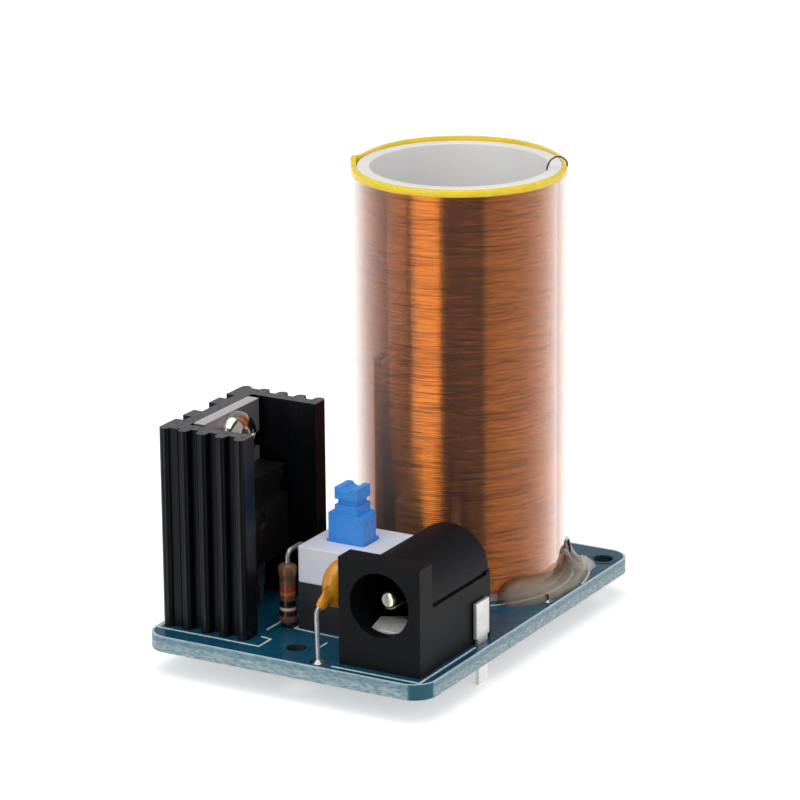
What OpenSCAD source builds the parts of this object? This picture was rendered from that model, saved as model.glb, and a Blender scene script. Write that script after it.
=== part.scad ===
// Desktop resonant transformer: a small circuit board that carries a tall secondary coil,
// a transistor on a finned heatsink, a barrel jack and a latching push switch.
// Millimetres. The origin is the bottom centre of the whole object, at the tips of the
// soldered leads. +X runs along the front edge, +Y runs to the back, +Z is up.
// The front row of parts sets the board's width and the switch and coil set its depth,
// so a part that grows moves its neighbours along instead of running into them.

/* [Board] */
// Thickness of the circuit board
board_t = 1.6; // [1.2:0.1:2.4]
// Radius of the board's corners
board_corner_r = 2.5; // [1:0.5:4]
// Length of the jack's, the switch's and the transistor's leads under the board
tail_l = 2.6; // [1.8:0.1:4]
// Length of all the other leads under the board, which are trimmed short
trim_l = 0.5; // [0.45:0.05:1.8]
// Thickness of the copper, drawn thicker than real foil
copper_t = 0.06; // [0.04:0.01:0.1]
// Width of the copper ring round each lead hole
pad_ring = 0.4; // [0.3:0.05:0.6]
// Radius of the three mounting holes
mount_r = 1.0; // [0.8:0.1:1.3]
// Width of the tinned ring round each mounting hole
mount_ring = 0.45; // [0.3:0.05:0.8]
// Distance of the rear mounting holes from the sides
mount_side = 1.95; // [1.7:0.05:3]
// Distance of the rear mounting holes from the rear edge
mount_rear = 3.2; // [2:0.1:4]
// Distance of the front mounting hole from the front edge
mount_front = 3.7; // [2.5:0.1:5]

/* [Coil] */
// Outer diameter of the plastic former
former_d = 20.6; // [18:0.1:24]
// Wall of the former
former_wall = 1.3; // [0.8:0.05:2]
// Height of the former
former_h = 42.86; // [30:0.5:60]
// Thickness of the close inner turns under the drawn outer turns
inner_turns_t = 0.15; // [0.1:0.01:0.3]
// Diameter of the enamelled wire
wire_d = 0.2; // [0.15:0.01:0.3]
// Height of the bare former below the winding
winding_low = 0.9; // [0.6:0.1:3]
// Height of the bare former above the winding
winding_high = 1.0; // [0.8:0.1:3]
// Thickness of the clear insulating film
film_t = 0.09; // [0.05:0.01:0.2]
// Height of the tape band at the top
top_tape_h = 1.1; // [0.7:0.1:2.5]
// Width of the glue bead at the foot of the coil
glue_w = 2.4; // [1.5:0.1:3]
// Height of the glue bead
glue_h = 2.2; // [1:0.1:3.5]
// Distance from the glue bead to the side of the board
glue_edge = 0.14; // [0.1:0.02:2]
// Space between the switch and the coil
coil_gap = 3.5; // [2.5:0.1:8]
// Distance from the coil to the rear edge
coil_edge = 2.0; // [1:0.1:5]

/* [Heatsink] */
// Width of the heatsink, left to right
hs_w = 9.7; // [9:0.1:12]
// Space in the channel on each side of the transistor
channel_side = 0.7; // [0.3:0.05:2]
// Height of the heatsink
hs_h = 20.6; // [19:0.1:25]
// Thickness of its walls under the ribs
hs_wall = 1.3; // [1.1:0.05:1.6]
// Height of its ribs
rib_h = 1.0; // [0.6:0.05:1.2]
// Width of the small ribs on the front and rear walls
rib_w = 1.15; // [0.9:0.05:1.4]
// Width of the broad ribs on the back of the web
web_rib_w = 2.0; // [1.5:0.1:2.4]
// Width of the groove in the middle of the web
web_groove = 2.8; // [2.4:0.1:3.4]
// Distance from the heatsink to the left edge
hs_edge = 0.6; // [0.3:0.1:3]
// Distance from the heatsink to the front edge
hs_front = 2.8; // [2:0.1:4]

/* [Transistor] */
// Width of the transistor
to_w = 10.2; // [9.6:0.1:10.6]
// Thickness of its metal tab
tab_t = 1.3; // [1:0.05:1.5]
// Height of its plastic body
to_h = 9.2; // [8.4:0.1:9.6]
// Thickness of the whole package
to_t = 4.5; // [4.2:0.1:4.8]
// Height of the plastic body above the board
to_up = 5.0; // [4:0.1:6]
// Distance between its leads
to_pitch = 2.54; // [2.2:0.02:2.8]
// Diameter of the hole in its tab
tab_hole_d = 3.7; // [3.4:0.1:4]
// Distance from the tab's top to the middle of its hole
tab_hole_down = 2.8; // [2.6:0.1:3.2]
// Thread diameter of the fixing screw
screw_d = 3; // [2.5:0.1:3.2]
// Diameter of the screw's head
screw_head_d = 5.2; // [4.8:0.1:5.4]
// Height of the screw's head
screw_head_h = 2; // [1.4:0.1:2.4]

/* [Barrel jack] */
// Width of the jack
jack_w = 9; // [8.6:0.1:10]
// Height of the jack's front flange
jack_h = 11; // [10.6:0.1:12]
// Length of the jack
jack_l = 14.2; // [13.6:0.1:15]
// Length of the square flange
jack_flange = 2.4; // [2:0.1:4]
// Height of the socket's middle above the board
jack_axis = 6.7; // [6.4:0.1:7]
// Diameter of the socket
socket_d = 6.5; // [6:0.1:6.6]
// Depth of the socket
socket_l = 10.5; // [9.5:0.1:11]
// Diameter of the centre pin
pin_d = 2.0; // [1.8:0.05:2.5]
// Distance from the socket's mouth back to the pin's tip
pin_recess = 1.6; // [1.5:0.1:3]
// Thickness of the jack's contact metal
strip_t = 0.35; // [0.3:0.01:0.4]
// Distance from the socket's mouth to the spring contact's root
leaf_root = 8.6; // [8:0.1:9]
// Distance from the socket's mouth to the spring contact's highest point
leaf_top = 3.6; // [3:0.1:4.5]
// Distance from the socket's mouth to the spring contact's end
leaf_end = 1.6; // [1.5:0.1:3]
// Drop of the spring contact's highest point below the socket's middle
leaf_drop = 2.5; // [2.3:0.05:2.7]
// How far the plug presses the spring contact down, in degrees
leaf_swing = 5; // [3:0.5:6]
// Distance from the jack to the front edge
jack_front = 1.9; // [0:0.1:3]
// Distance from the jack to the right edge
jack_edge = 1.5; // [1.2:0.1:4]
// Space between the jack and the switch
jack_gap = 0.2; // [0.1:0.05:2]

/* [Switch] */
// Width and depth of the switch
sw_w = 8.5; // [8.2:0.1:10]
// Height of its base
sw_base_h = 4.75; // [4.5:0.05:6]
// Height of its cover
sw_cover_h = 3.8; // [3.2:0.1:5]
// Wall of the base and of the cover
sw_wall = 0.75; // [0.6:0.05:0.9]
// Thickness of the cover's top
sw_roof = 1.0; // [0.8:0.05:1.4]
// Width of the button, left to right
button_w = 4.2; // [3.6:0.1:4.4]
// Depth of the button, front to back
button_d = 3.1; // [2.9:0.1:4.2]
// Height of the button's lower block above the cover
button_block_h = 2.85; // [2.4:0.05:3.4]
// Height of the whole button above the cover
button_h = 5.6; // [5:0.1:7]
// How far the button travels
travel = 1.8; // [1.2:0.1:2]
// Distance from the switch to the front edge
sw_front = 8.75; // [8.6:0.05:12]
// Wire diameter of the switch's spring
spring_wire_d = 0.35; // [0.25:0.01:0.4]
// Outer diameter of the switch's spring
spring_d = 2.7; // [2.3:0.1:2.8]
// Number of turns of the switch's spring
spring_turns = 5; // [3:1:6]

/* [Small parts] */
// Diameter of the resistor
res_d = 1.9; // [1.6:0.1:2.3]
// Length of the resistor
res_l = 6.3; // [5:0.1:7.5]
// Height of the resistor above the board
res_up = 0.35; // [0.3:0.05:2]
// Distance between the resistor's leads
res_pitch = 3.2; // [2.8:0.1:3.6]
// Distance from the resistor to the front edge
res_front = 8.6; // [7.5:0.1:9]
// Space between the heatsink and the resistor
res_gap = 0.45; // [0.3:0.05:2]
// Space between the resistor and the switch
sw_gap = 0.15; // [0.1:0.05:2]
// Diameter of the resistor's and the capacitor's leads
lead_d = 0.5; // [0.4:0.02:0.6]
// Thickness of the capacitor
cap_t = 2.6; // [2.4:0.1:3.4]
// Diameter of the capacitor
cap_d = 4.8; // [4.6:0.1:5.4]
// Height of the capacitor's body above the board
cap_up = 4.3; // [3.8:0.1:5]
// Distance between the capacitor's leads
cap_pitch = 5.08; // [4.6:0.02:5.2]
// Space between the capacitor and the jack
cap_gap = 0.75; // [0.3:0.05:2]
// How far back the capacitor leans over its leads
cap_lean = 1.7; // [0.8:0.1:1.9]
// Space between the capacitor and the switch
cap_sw_gap = 2.45; // [2.2:0.05:3]

/* [Hidden] */
$fn = 48;
eps = 0.01;

// Clearances
hole_clear = 0.1;      // lead to its hole in the board, on each side
touch_clear = 0.02;    // thin skins over round pieces
run_clear = 0.05;      // sliding pieces, on each side
free_clear = 0.15;     // pieces that must not touch while they move

// Height of the solder under the board
solder_h = 0.4;

// Levels
board_z = tail_l;
trim_z = board_z - trim_l;
top_z = board_z + board_t;

// Coil radii, from the former outwards. The wire's rings are joined by chords, so
// their circle is a little larger than the wire would need on a true helix.
loops = 24;
loop_rings = 24;
curl_rings = 8;
tube_sides = 6;
former_r = former_d / 2;
sleeve_r = former_r + inner_turns_t;
helix_r = (sleeve_r + eps + wire_d / 2) / cos(180 / loop_rings);
film_r = helix_r + wire_d / 2 + touch_clear;
coil_r = film_r + film_t;
winding_z0 = top_z + winding_low;
winding_z1 = top_z + former_h - winding_high;
helix_pitch = (winding_z1 - winding_z0 - 2 * wire_d) / loops;

// The board is as wide as the front row and as deep as the switch and the coil
board_w = hs_edge + hs_w + res_gap + res_d + sw_gap + sw_w + jack_gap + jack_w + jack_edge;
board_d = sw_front + sw_w + coil_gap + 2 * coil_r + coil_edge;
left_x = -board_w / 2;
front_y = -board_d / 2;

// Places along the front row
hs_x = left_x + hs_edge;
hs_y = front_y + hs_front;
hs_d = to_w + 2 * (channel_side + hs_wall + rib_h);
hs_mid_y = hs_y + hs_d / 2;
res_x = hs_x + hs_w + res_gap + res_d / 2;
res_y = front_y + res_front;
sw_x = hs_x + hs_w + res_gap + res_d + sw_gap + sw_w / 2;
sw_y = front_y + sw_front + sw_w / 2;
jack_x = sw_x + sw_w / 2 + jack_gap + jack_w / 2;
jack_y = front_y + jack_front;
cap_x = jack_x - jack_w / 2 - cap_gap - cap_t / 2;
cap_y = sw_y - sw_w / 2 - cap_sw_gap - cap_d / 2;

// Coil
coil_x = board_w / 2 - glue_edge - glue_w - coil_r;
coil_y = board_d / 2 - coil_edge - coil_r;
hook_angle = 18;
hook_rise = 0.35;
hook_drop = 2.2;
glue_from = -46;
glue_to = 28;

// Wire from the coil's foot to its hole in the board
foot_angle = -20;
foot_r = coil_r + glue_w;
foot_x = coil_x + foot_r * cos(foot_angle);
foot_y = coil_y + foot_r * sin(foot_angle);
foot_z = top_z + glue_h * 0.3;
foot_pad_r = wire_d / 2 + hole_clear + pad_ring;

// Printed primary on the underside
primary_turns = 2.5;
primary_in_r = 8.4;
primary_pitch = 0.95;
primary_w = 0.5;
primary_out_r = primary_in_r + primary_turns * primary_pitch;
track_rings = 48;

// Mounting holes: two at the rear, one at the front beside the capacitor
front_hole_gap = 1.1;
rear_holes = [[board_w / 2 - mount_side, board_d / 2 - mount_rear],
              [mount_side - board_w / 2, board_d / 2 - mount_rear]];
front_hole = [cap_x - cap_t / 2 - front_hole_gap - mount_r - mount_ring, front_y + mount_front];
mount_holes = concat(rear_holes, [front_hole]);

// Heatsink: a channel that opens to the right, ribbed on its other three sides
web_x = hs_x + rib_h + hs_wall;
channel_y0 = hs_y + rib_h + hs_wall;
channel_y1 = hs_y + hs_d - rib_h - hs_wall;
wall_ribs = 5;
rib_pitch = (hs_w - rib_w) / (wall_ribs - 1);
corner_rib_w = hs_d / 2 - web_groove / 2 - web_rib_w - rib_h * 1.8;
hs_pin_r = 0.5;
hs_pin_in = 4;
hs_pin_x = hs_x + rib_pitch + rib_w / 2;
hs_pin_y = [hs_y + (rib_h + hs_wall) / 2, hs_y + hs_d - (rib_h + hs_wall) / 2];

// Transistor: the tab lies on the web
to_z = top_z + to_up;
tab_top_z = top_z + hs_h;
tab_hole_z = tab_top_z - tab_hole_down;
tab_neck_w = to_w - 1.8;
lead_t = 0.45;
lead_w = 0.8;
lead_wide_w = 1.3;
lead_wide_l = 3.2;
to_lead_x = web_x + 2.6;
to_root = 1.2;
screw_r = screw_d / 2;

// Jack
jack_axis_z = top_z + jack_axis;
barrel_r = 4.2;
jack_low_w = 8.8;
pin_r = pin_d / 2;
pin_root_r = pin_r + 0.25;
slot_w = 4.4;
leaf_w = 3.8;
ledge_cut = 0.35;
ledge_h = 0.3;
leaf_t = 0.3;
leaf_slope = 1.6;
leaf_bump = [jack_y + leaf_top, jack_axis_z - leaf_drop];
leaf_tip = [jack_y + leaf_end, leaf_bump[1] - 2 * leaf_t];
leaf_pivot = [jack_y + leaf_root, leaf_bump[1] - leaf_slope];
leaf_reach = leaf_pivot[0] - leaf_tip[0];
slot_z0 = min(leaf_tip[1] - leaf_reach * sin(leaf_swing), leaf_pivot[1]) - leaf_t - free_clear;
blade_w = 2.6;
blade_h = 4.3;
blade_foot_h = 0.6;
blade_foot_w = 1.9;
blade_y = jack_y + jack_l - 3.6;
terminal_w = 2.2;
rear_terminal_y = jack_y + jack_l - strip_t;
mid_terminal_y = leaf_pivot[0] + free_clear;

// Switch levels, from the board up
sw_floor = 1.0;
cover_z = top_z + sw_base_h;
cover_top_z = cover_z + sw_cover_h;
flange_t = 0.8;
flange_top_z = cover_top_z - sw_roof - run_clear;
flange_z = flange_top_z - flange_t;
sw_in = sw_w / 2 - sw_wall;
button_x = sw_x - 0.5;
button_y = sw_y + 0.2;
latch_room = 0.8;
post_t = 0.3;
contact_t = 0.25;
button_w_in = 2 * (sw_in - 2 * run_clear - post_t - contact_t);
button_d_in = 2 * (sw_in - latch_room);
skirt_t = 0.7;
skirt_z = top_z + sw_floor + travel + 0.5;
spring_z0 = top_z + sw_floor;
contact_w = button_d_in - 0.4;
contact_z0 = skirt_z + 0.1;
contact_h = 1.1;
post_x = button_w_in / 2 + contact_t + run_clear;
post_w = 0.7;
post_pitch = 2.5;
post_top_z = contact_z0 + contact_h;
latch_y = sw_y - sw_in + latch_room * 0.56;
latch_r = 0.15;
latch_z0 = top_z + sw_floor;
latch_h = 3.4;

// Capacitor: each lead stands up from the board, bends over at its elbow and goes up into its
// coat on the disc, which leans back over the leads. Kinks are distances from the disc's
// middle along Y. Each lead ends far enough below the disc to clear its curved edge.
cap_mid_y = cap_y + cap_lean;
cap_mid_z = top_z + cap_up + cap_d / 2;
cap_kink = [-0.47 * cap_d, 0.2 * cap_d];
cap_coat = 1.0;
cap_neck = 0.3;
cap_bend = 0.9;
cap_lead_end = 0.55;
bend_swell = 0.04;

// Where each lead meets the disc's lower edge
function cap_edge(i) =
    [cap_x, cap_mid_y + cap_kink[i], cap_mid_z - sqrt(pow(cap_d / 2, 2) - pow(cap_kink[i], 2))];

// Holes in the board for leads: [x, y, width, depth] of each lead's section
round_lead = function(x, y, d) [x, y, d, d];
lead_holes = concat(
    [for (s = [-1, 0, 1]) [to_lead_x, hs_mid_y + s * to_pitch, lead_t, lead_w]],
    [for (y = hs_pin_y) round_lead(hs_pin_x, y, 2 * hs_pin_r)],
    [round_lead(res_x, res_y, lead_d), round_lead(res_x, res_y + res_pitch, lead_d)],
    [for (s = [-1, 1]) round_lead(cap_x, cap_y + s * cap_pitch / 2, lead_d)],
    [for (sx = [-1, 1], sy = [-1, 0, 1])
        [sw_x + sx * (post_x + post_t / 2), sw_y + sy * post_pitch, post_t, post_w]],
    [[jack_x, rear_terminal_y + strip_t / 2, terminal_w, strip_t],
     [jack_x, mid_terminal_y + strip_t / 2, terminal_w, strip_t],
     [jack_x + jack_w / 2 + strip_t / 2, blade_y + blade_w / 2, strip_t, blade_foot_w]],
    [round_lead(foot_x, foot_y, wire_d)]);

function is_round(lead) = lead[2] == lead[3];

// A point on a helix about the Z axis, at an angle that may pass 360 degrees
function helix_point(angle, r, pitch, z) =
    [r * cos(angle), r * sin(angle), z + pitch * angle / 360];

// Rings of a tube about the given points: each ring lies square to the path
function tube_rings(path, r) =
    [for (i = [0 : len(path) - 1])
        let (a = path[max(i - 1, 0)], b = path[min(i + 1, len(path) - 1)],
             t = (b - a) / norm(b - a),
             out = [path[i][0], path[i][1], 0] / norm([path[i][0], path[i][1]]),
             n = (out - t * (out * t)) / norm(out - t * (out * t)),
             s = cross(t, n))
        for (j = [0 : tube_sides - 1])
            path[i] + r * (cos(j * 360 / tube_sides) * n + sin(j * 360 / tube_sides) * s)];

function tube_faces(count) = concat(
    [for (i = [0 : count - 2], j = [0 : tube_sides - 1], half = [0, 1])
        let (a = i * tube_sides + j, b = i * tube_sides + (j + 1) % tube_sides)
        half == 0 ? [a, b + tube_sides, b] : [a, a + tube_sides, b + tube_sides]],
    [for (j = [1 : tube_sides - 2]) [0, j, j + 1]],
    [for (j = [1 : tube_sides - 2])
        let (last = (count - 1) * tube_sides) [last, last + j + 1, last + j]]);

// A wound tube: loops on one helix, with straight ends one tube diameter long
function wound_path(r, pitch, z, turns, rings, d) =
    let (start = helix_point(0, r, pitch, z),
         end_angle = 360 * turns,
         end = helix_point(end_angle, r, pitch, z),
         first = [0, -d, 0],
         last = [-d * sin(end_angle), d * cos(end_angle), 0])
    concat([start + first],
           [for (i = [0 : turns * rings]) helix_point(i * 360 / rings, r, pitch, z)],
           [end + last]);

// Least distance between the surfaces of neighbouring loops, measured on the path's points
function least_gap(path, rings, d) =
    min([for (i = [0 : len(path) - 1], j = [i + rings / 2 : min(i + rings * 3 / 2, len(path) - 1)])
        norm(path[i] - path[j])]) - d;

module wound_tube(path, d) {
    polyhedron(points = tube_rings(path, d / 2), faces = tube_faces(len(path)));
}

// Section of a lead, grown on every side
module lead_section(l, grow) translate([l[0], l[1]]) {
    if (is_round(l)) circle(d = l[2] + 2 * grow, $fn = 24);
    else square([l[2] + 2 * grow, l[3] + 2 * grow], center = true);
}

module rod(a, b, r) {
    v = b - a;
    translate(a) rotate([0, acos(v[2] / norm(v)), atan2(v[1], v[0])])
        cylinder(r = r, h = norm(v), $fn = 16);
}

module slab(x0, x1, y0, y1, z0, z1) {
    translate([x0, y0, z0]) cube([x1 - x0, y1 - y0, z1 - z0]);
}

module ring(r_in, r_out, h) {
    difference() {
        cylinder(r = r_out, h = h);
        translate([0, 0, -eps]) cylinder(r = r_in, h = h + 2 * eps);
    }
}

module at_coil(z) translate([coil_x, coil_y, z]) children();

// ---- Board ----

module board_outline() {
    c = [board_w / 2 - board_corner_r, board_d / 2 - board_corner_r];
    union() {
        square([board_w - 2 * board_corner_r, board_d], center = true);
        square([board_w, board_d - 2 * board_corner_r], center = true);
        for (sx = [-1, 1], sy = [-1, 1])
            translate([sx * c[0], sy * c[1]]) circle(r = board_corner_r);
    }
}

module circuit_board() color("#155a74") translate([0, 0, board_z])
    linear_extrude(board_t) difference() {
        board_outline();
        for (h = mount_holes) translate(h) circle(r = mount_r);
        for (l = lead_holes) lead_section(l, hole_clear);
    }

// Tinned rings on the top face: round the mounting holes and the visible leads
module front_copper() color("#b8c4c8") translate([0, 0, top_z]) {
    for (h = mount_holes) translate(h) ring(mount_r + hole_clear, mount_r + mount_ring, copper_t);
    translate([foot_x, foot_y]) ring(wire_d / 2 + hole_clear, foot_pad_r, copper_t);
}

// The primary: a flat spiral of copper under the coil
module primary_track() color("#b87a3a") {
    steps = primary_turns * track_rings;
    spiral = function(i, side) let (a = 360 * i / track_rings,
        r = primary_in_r + primary_pitch * i / track_rings + side * primary_w / 2)
        [r * cos(a), r * sin(a)];
    at_coil(board_z - copper_t) linear_extrude(copper_t)
        polygon(concat([for (i = [0 : steps]) spiral(i, 1)],
                       [for (i = [steps : -1 : 0]) spiral(i, -1)]));
}

// Solder under the board: a cone round each wire, a stepped mound round each flat lead
module solder_joints() color("#c9ccd0") for (l = lead_holes) difference() {
    if (is_round(l)) translate([l[0], l[1], 0]) {
        r = l[2] / 2 + hole_clear;
        rotate_extrude($fn = 24) polygon([[0, board_z], [r + pad_ring, board_z],
            [r + pad_ring * 0.5, board_z - solder_h / 2], [r, board_z - solder_h], [0, board_z - solder_h]]);
    } else for (step = [1, 2]) translate([0, 0, board_z - solder_h * step / 2])
        linear_extrude(solder_h * step / 2) lead_section(l, hole_clear + pad_ring / step);
    translate([0, 0, -eps]) linear_extrude(top_z) lead_section(l, 0);
}

// ---- Coil ----

module coil_former() color("#f0f0ec") at_coil(top_z) ring(former_r - former_wall, former_r, former_h);

module secondary_winding() color("#b5561c") {
    path = wound_path(helix_r, helix_pitch, winding_z0 + wire_d, loops, loop_rings, wire_d);
    echo(least_gap_of_the_secondary = least_gap(path, loop_rings, wire_d));
    at_coil(0) {
        translate([0, 0, winding_z0]) ring(former_r, sleeve_r, winding_z1 - winding_z0);
        wound_tube(path, wire_d);
    }
}

// The film's upper edge ends under the tape
module insulation_film() color([0.9, 0.75, 0.6, 0.35]) difference() {
    at_coil(top_z + eps) ring(film_r, coil_r, former_h - top_tape_h - 2 * eps);
    rod([coil_x, coil_y, foot_z], [foot_x, foot_y, foot_z], wire_d / 2 + touch_clear);
}

module top_tape() color("#e3c31f") at_coil(top_z + former_h - top_tape_h)
    difference() {
        cylinder(r = coil_r, h = top_tape_h);
        translate([0, 0, -eps]) cylinder(r = former_r, h = top_tape_h + 2 * eps);
        translate([0, 0, -eps]) cylinder(r = film_r, h = eps + top_tape_h - winding_high + touch_clear);
    }

// The free end of the wire rises over the rim in a small hook
module top_wire_end() color("#4a3020") {
    rim_z = top_z + former_h;
    in_r = former_r - former_wall - wire_d / 2 - eps;
    out_r = (former_r + coil_r) / 2;
    arch_r = (out_r - in_r) / 2;
    at_coil(rim_z) rotate([0, 0, hook_angle]) {
        translate([(in_r + out_r) / 2, 0, hook_rise]) rotate([90, 0, 0])
            rotate_extrude(angle = 180, $fn = 32)
                translate([arch_r, 0]) circle(d = wire_d, $fn = 16);
        translate([in_r, 0, -hook_drop]) cylinder(d = wire_d, h = hook_drop + hook_rise, $fn = 16);
        translate([out_r, 0, 0]) cylinder(d = wire_d, h = hook_rise, $fn = 16);
    }
}

// The winding's lower end runs out to its hole in the board
module bottom_wire_lead() color("#8a4a20") {
    in_r = former_r + touch_clear;
    bend = [foot_x, foot_y, foot_z];
    rod([coil_x + in_r * cos(foot_angle), coil_y + in_r * sin(foot_angle), foot_z], bend, wire_d / 2);
    translate(bend) sphere(d = wire_d + bend_swell, $fn = 16);
    translate([foot_x, foot_y, trim_z]) cylinder(d = wire_d, h = foot_z - trim_z, $fn = 24);
}

// Clear glue along the foot of the coil, on the right
module glue_bead() color("#d9d2bb") difference() {
    at_coil(top_z) rotate([0, 0, glue_from]) rotate_extrude(angle = glue_to - glue_from)
        polygon(concat([[coil_r, 0]],
            [for (a = [0 : 15 : 90]) [coil_r + glue_w * cos(a), glue_h * sin(a)]]));
    translate([foot_x, foot_y, top_z - eps]) cylinder(r = foot_pad_r, h = glue_h * 0.6);
    rod([coil_x, coil_y, foot_z], [foot_x, foot_y, foot_z], wire_d / 2 + touch_clear);
}

// ---- Heatsink and transistor ----

module heatsink_outline() difference() {
    union() {
        translate([hs_x + rib_h, hs_y + rib_h]) square([hs_w - rib_h, hs_d - 2 * rib_h]);
        for (i = [0 : wall_ribs - 1], side = [0, 1]) translate([hs_x + i * rib_pitch, hs_y + side * hs_d])
            mirror([0, side]) {
                translate([0, rib_w / 2]) square([rib_w, rib_h]);
                translate([rib_w / 2, rib_w / 2]) circle(d = rib_w, $fn = 24);
            }
        for (s = [-1, 1]) {
            translate([hs_x, hs_mid_y + s * (web_groove + web_rib_w) / 2 - web_rib_w / 2])
                square([2 * rib_h, web_rib_w]);
            translate([hs_x, hs_mid_y + s * (hs_d - corner_rib_w - rib_h) / 2 - corner_rib_w / 2])
                square([2 * rib_h, corner_rib_w]);
        }
    }
    translate([web_x, channel_y0]) square([hs_w, channel_y1 - channel_y0]);
}

module heatsink() color("#22242a") difference() {
    translate([0, 0, top_z]) linear_extrude(hs_h) heatsink_outline();
    translate([hs_x - eps, hs_mid_y, tab_hole_z]) rotate([0, 90, 0])
        cylinder(r = screw_r + run_clear, h = web_x - hs_x + 2 * eps);
    for (y = hs_pin_y) translate([hs_pin_x, y, top_z - eps])
        cylinder(r = hs_pin_r, h = hs_pin_in + eps, $fn = 24);
}

module heatsink_pins() color("#c4c7cb") for (y = hs_pin_y)
    translate([hs_pin_x, y, trim_z]) cylinder(r = hs_pin_r, h = top_z + hs_pin_in - trim_z, $fn = 24);

module lead_blade(y) {
    slab(to_lead_x - lead_t / 2, to_lead_x + lead_t / 2, y - lead_w / 2, y + lead_w / 2, 0, to_z);
    slab(to_lead_x - lead_t / 2, to_lead_x + lead_t / 2,
        y - lead_wide_w / 2, y + lead_wide_w / 2, to_z - lead_wide_l, to_z + to_root);
}

// The tab, and the middle lead that is one piece with it
module transistor_tab() color("#c9ccd0") {
    difference() {
        union() {
            slab(web_x, web_x + tab_t, hs_mid_y - tab_neck_w / 2, hs_mid_y + tab_neck_w / 2,
                to_z + 0.4, tab_top_z);
            slab(web_x, web_x + tab_t, hs_mid_y - to_w / 2, hs_mid_y + to_w / 2,
                to_z + to_h, tab_top_z);
        }
        translate([web_x - eps, hs_mid_y, tab_hole_z]) rotate([0, 90, 0])
            cylinder(d = tab_hole_d, h = tab_t + 2 * eps);
        for (s = [-1, 1]) translate([web_x - eps, hs_mid_y + s * to_w / 2, to_z + to_h + 2.2])
            rotate([0, 90, 0]) cylinder(r = 0.8, h = tab_t + 2 * eps, $fn = 24);
    }
    lead_blade(hs_mid_y);
    slab(web_x + tab_t, to_lead_x + lead_t / 2,
        hs_mid_y - lead_wide_w / 2, hs_mid_y + lead_wide_w / 2, to_z + 0.4, to_z + to_root);
}

module transistor_body() color("#1b1b1e") difference() {
    slab(web_x, web_x + to_t, hs_mid_y - to_w / 2, hs_mid_y + to_w / 2, to_z, to_z + to_h);
    slab(web_x - 1, web_x + tab_t, hs_mid_y - tab_neck_w / 2, hs_mid_y + tab_neck_w / 2,
        to_z + 0.4, tab_top_z);
    slab(web_x, to_lead_x + lead_t / 2,
        hs_mid_y - lead_wide_w / 2, hs_mid_y + lead_wide_w / 2, to_z + 0.4, to_z + to_root);
    for (s = [-1, 0, 1]) lead_blade(hs_mid_y + s * to_pitch);
    translate([web_x + to_t, hs_mid_y - to_w / 2 - 1, to_z + to_h])
        rotate([0, 12, 0]) translate([-0.25, 0, -3]) cube([2, to_w + 2, 4]);
    translate([web_x + to_t - 0.2, hs_mid_y, to_z + to_h / 2]) rotate([0, 90, 0])
        cylinder(r = 0.8, h = 1, $fn = 24);
}

module transistor_leads() color("#cfd2d6") for (s = [-1, 1]) lead_blade(hs_mid_y + s * to_pitch);

// The screw goes through the tab into a threaded hole in the web
module transistor_screw() color("#d2cfc6")
    translate([web_x + tab_t, hs_mid_y, tab_hole_z]) rotate([0, 90, 0]) {
        translate([0, 0, -tab_t - hs_wall - rib_h]) cylinder(r = screw_r, h = tab_t + hs_wall + rib_h + eps);
        difference() {
            rotate_extrude() polygon(concat([[0, 0]],
                [for (a = [0 : 10 : 90])
                    [screw_head_d / 2 * pow(cos(a), 0.55), 0.5 + (screw_head_h - 0.5) * sin(a)]],
                [[0, screw_head_h]]));
            for (a = [0, 90]) rotate([0, 0, a + 25])
                translate([-1.4, -0.25, screw_head_h - 0.8]) cube([2.8, 0.5, 1]);
        }
    }

// ---- Barrel jack ----

module jack_housing() color("#2b2d33") difference() {
    union() {
        slab(jack_x - jack_w / 2, jack_x + jack_w / 2, jack_y, jack_y + jack_flange,
            top_z, top_z + jack_h);
        slab(jack_x - jack_low_w / 2, jack_x + jack_low_w / 2, jack_y + jack_flange - eps,
            jack_y + jack_l, top_z, jack_axis_z);
        translate([jack_x, jack_y + jack_l, jack_axis_z]) rotate([90, 0, 0])
            cylinder(r = barrel_r, h = jack_l - jack_flange + eps);
    }
    translate([jack_x, jack_y + socket_l, jack_axis_z]) rotate([90, 0, 0])
        cylinder(d = socket_d, h = socket_l + eps);
    translate([jack_x, jack_y + jack_l + eps, jack_axis_z]) rotate([90, 0, 0])
        cylinder(r = pin_root_r, h = jack_l - socket_l + 2 * eps);
    // Slot under the socket for the spring contact, open below for its terminal
    slab(jack_x - slot_w / 2, jack_x + slot_w / 2, leaf_tip[0] - 2 * free_clear,
        mid_terminal_y + strip_t + free_clear, slot_z0, jack_axis_z);
    slab(jack_x - terminal_w / 2, jack_x + terminal_w / 2, mid_terminal_y,
        mid_terminal_y + strip_t, top_z - eps, slot_z0 + eps);
    // Groove under the barrel on both sides
    for (s = [-1, 1]) translate([jack_x + s * jack_low_w / 2, jack_y + jack_flange + ledge_cut,
        jack_axis_z - ledge_h / 2]) translate([-ledge_cut, 0, -ledge_h / 2])
        cube([2 * ledge_cut, jack_l - jack_flange - 3 * ledge_cut, ledge_h]);
    // Recess in the rear face for the pin's terminal
    slab(jack_x - terminal_w / 2, jack_x + terminal_w / 2, rear_terminal_y,
        jack_y + jack_l + eps, top_z - eps, jack_axis_z + terminal_w / 2);
}

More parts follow.
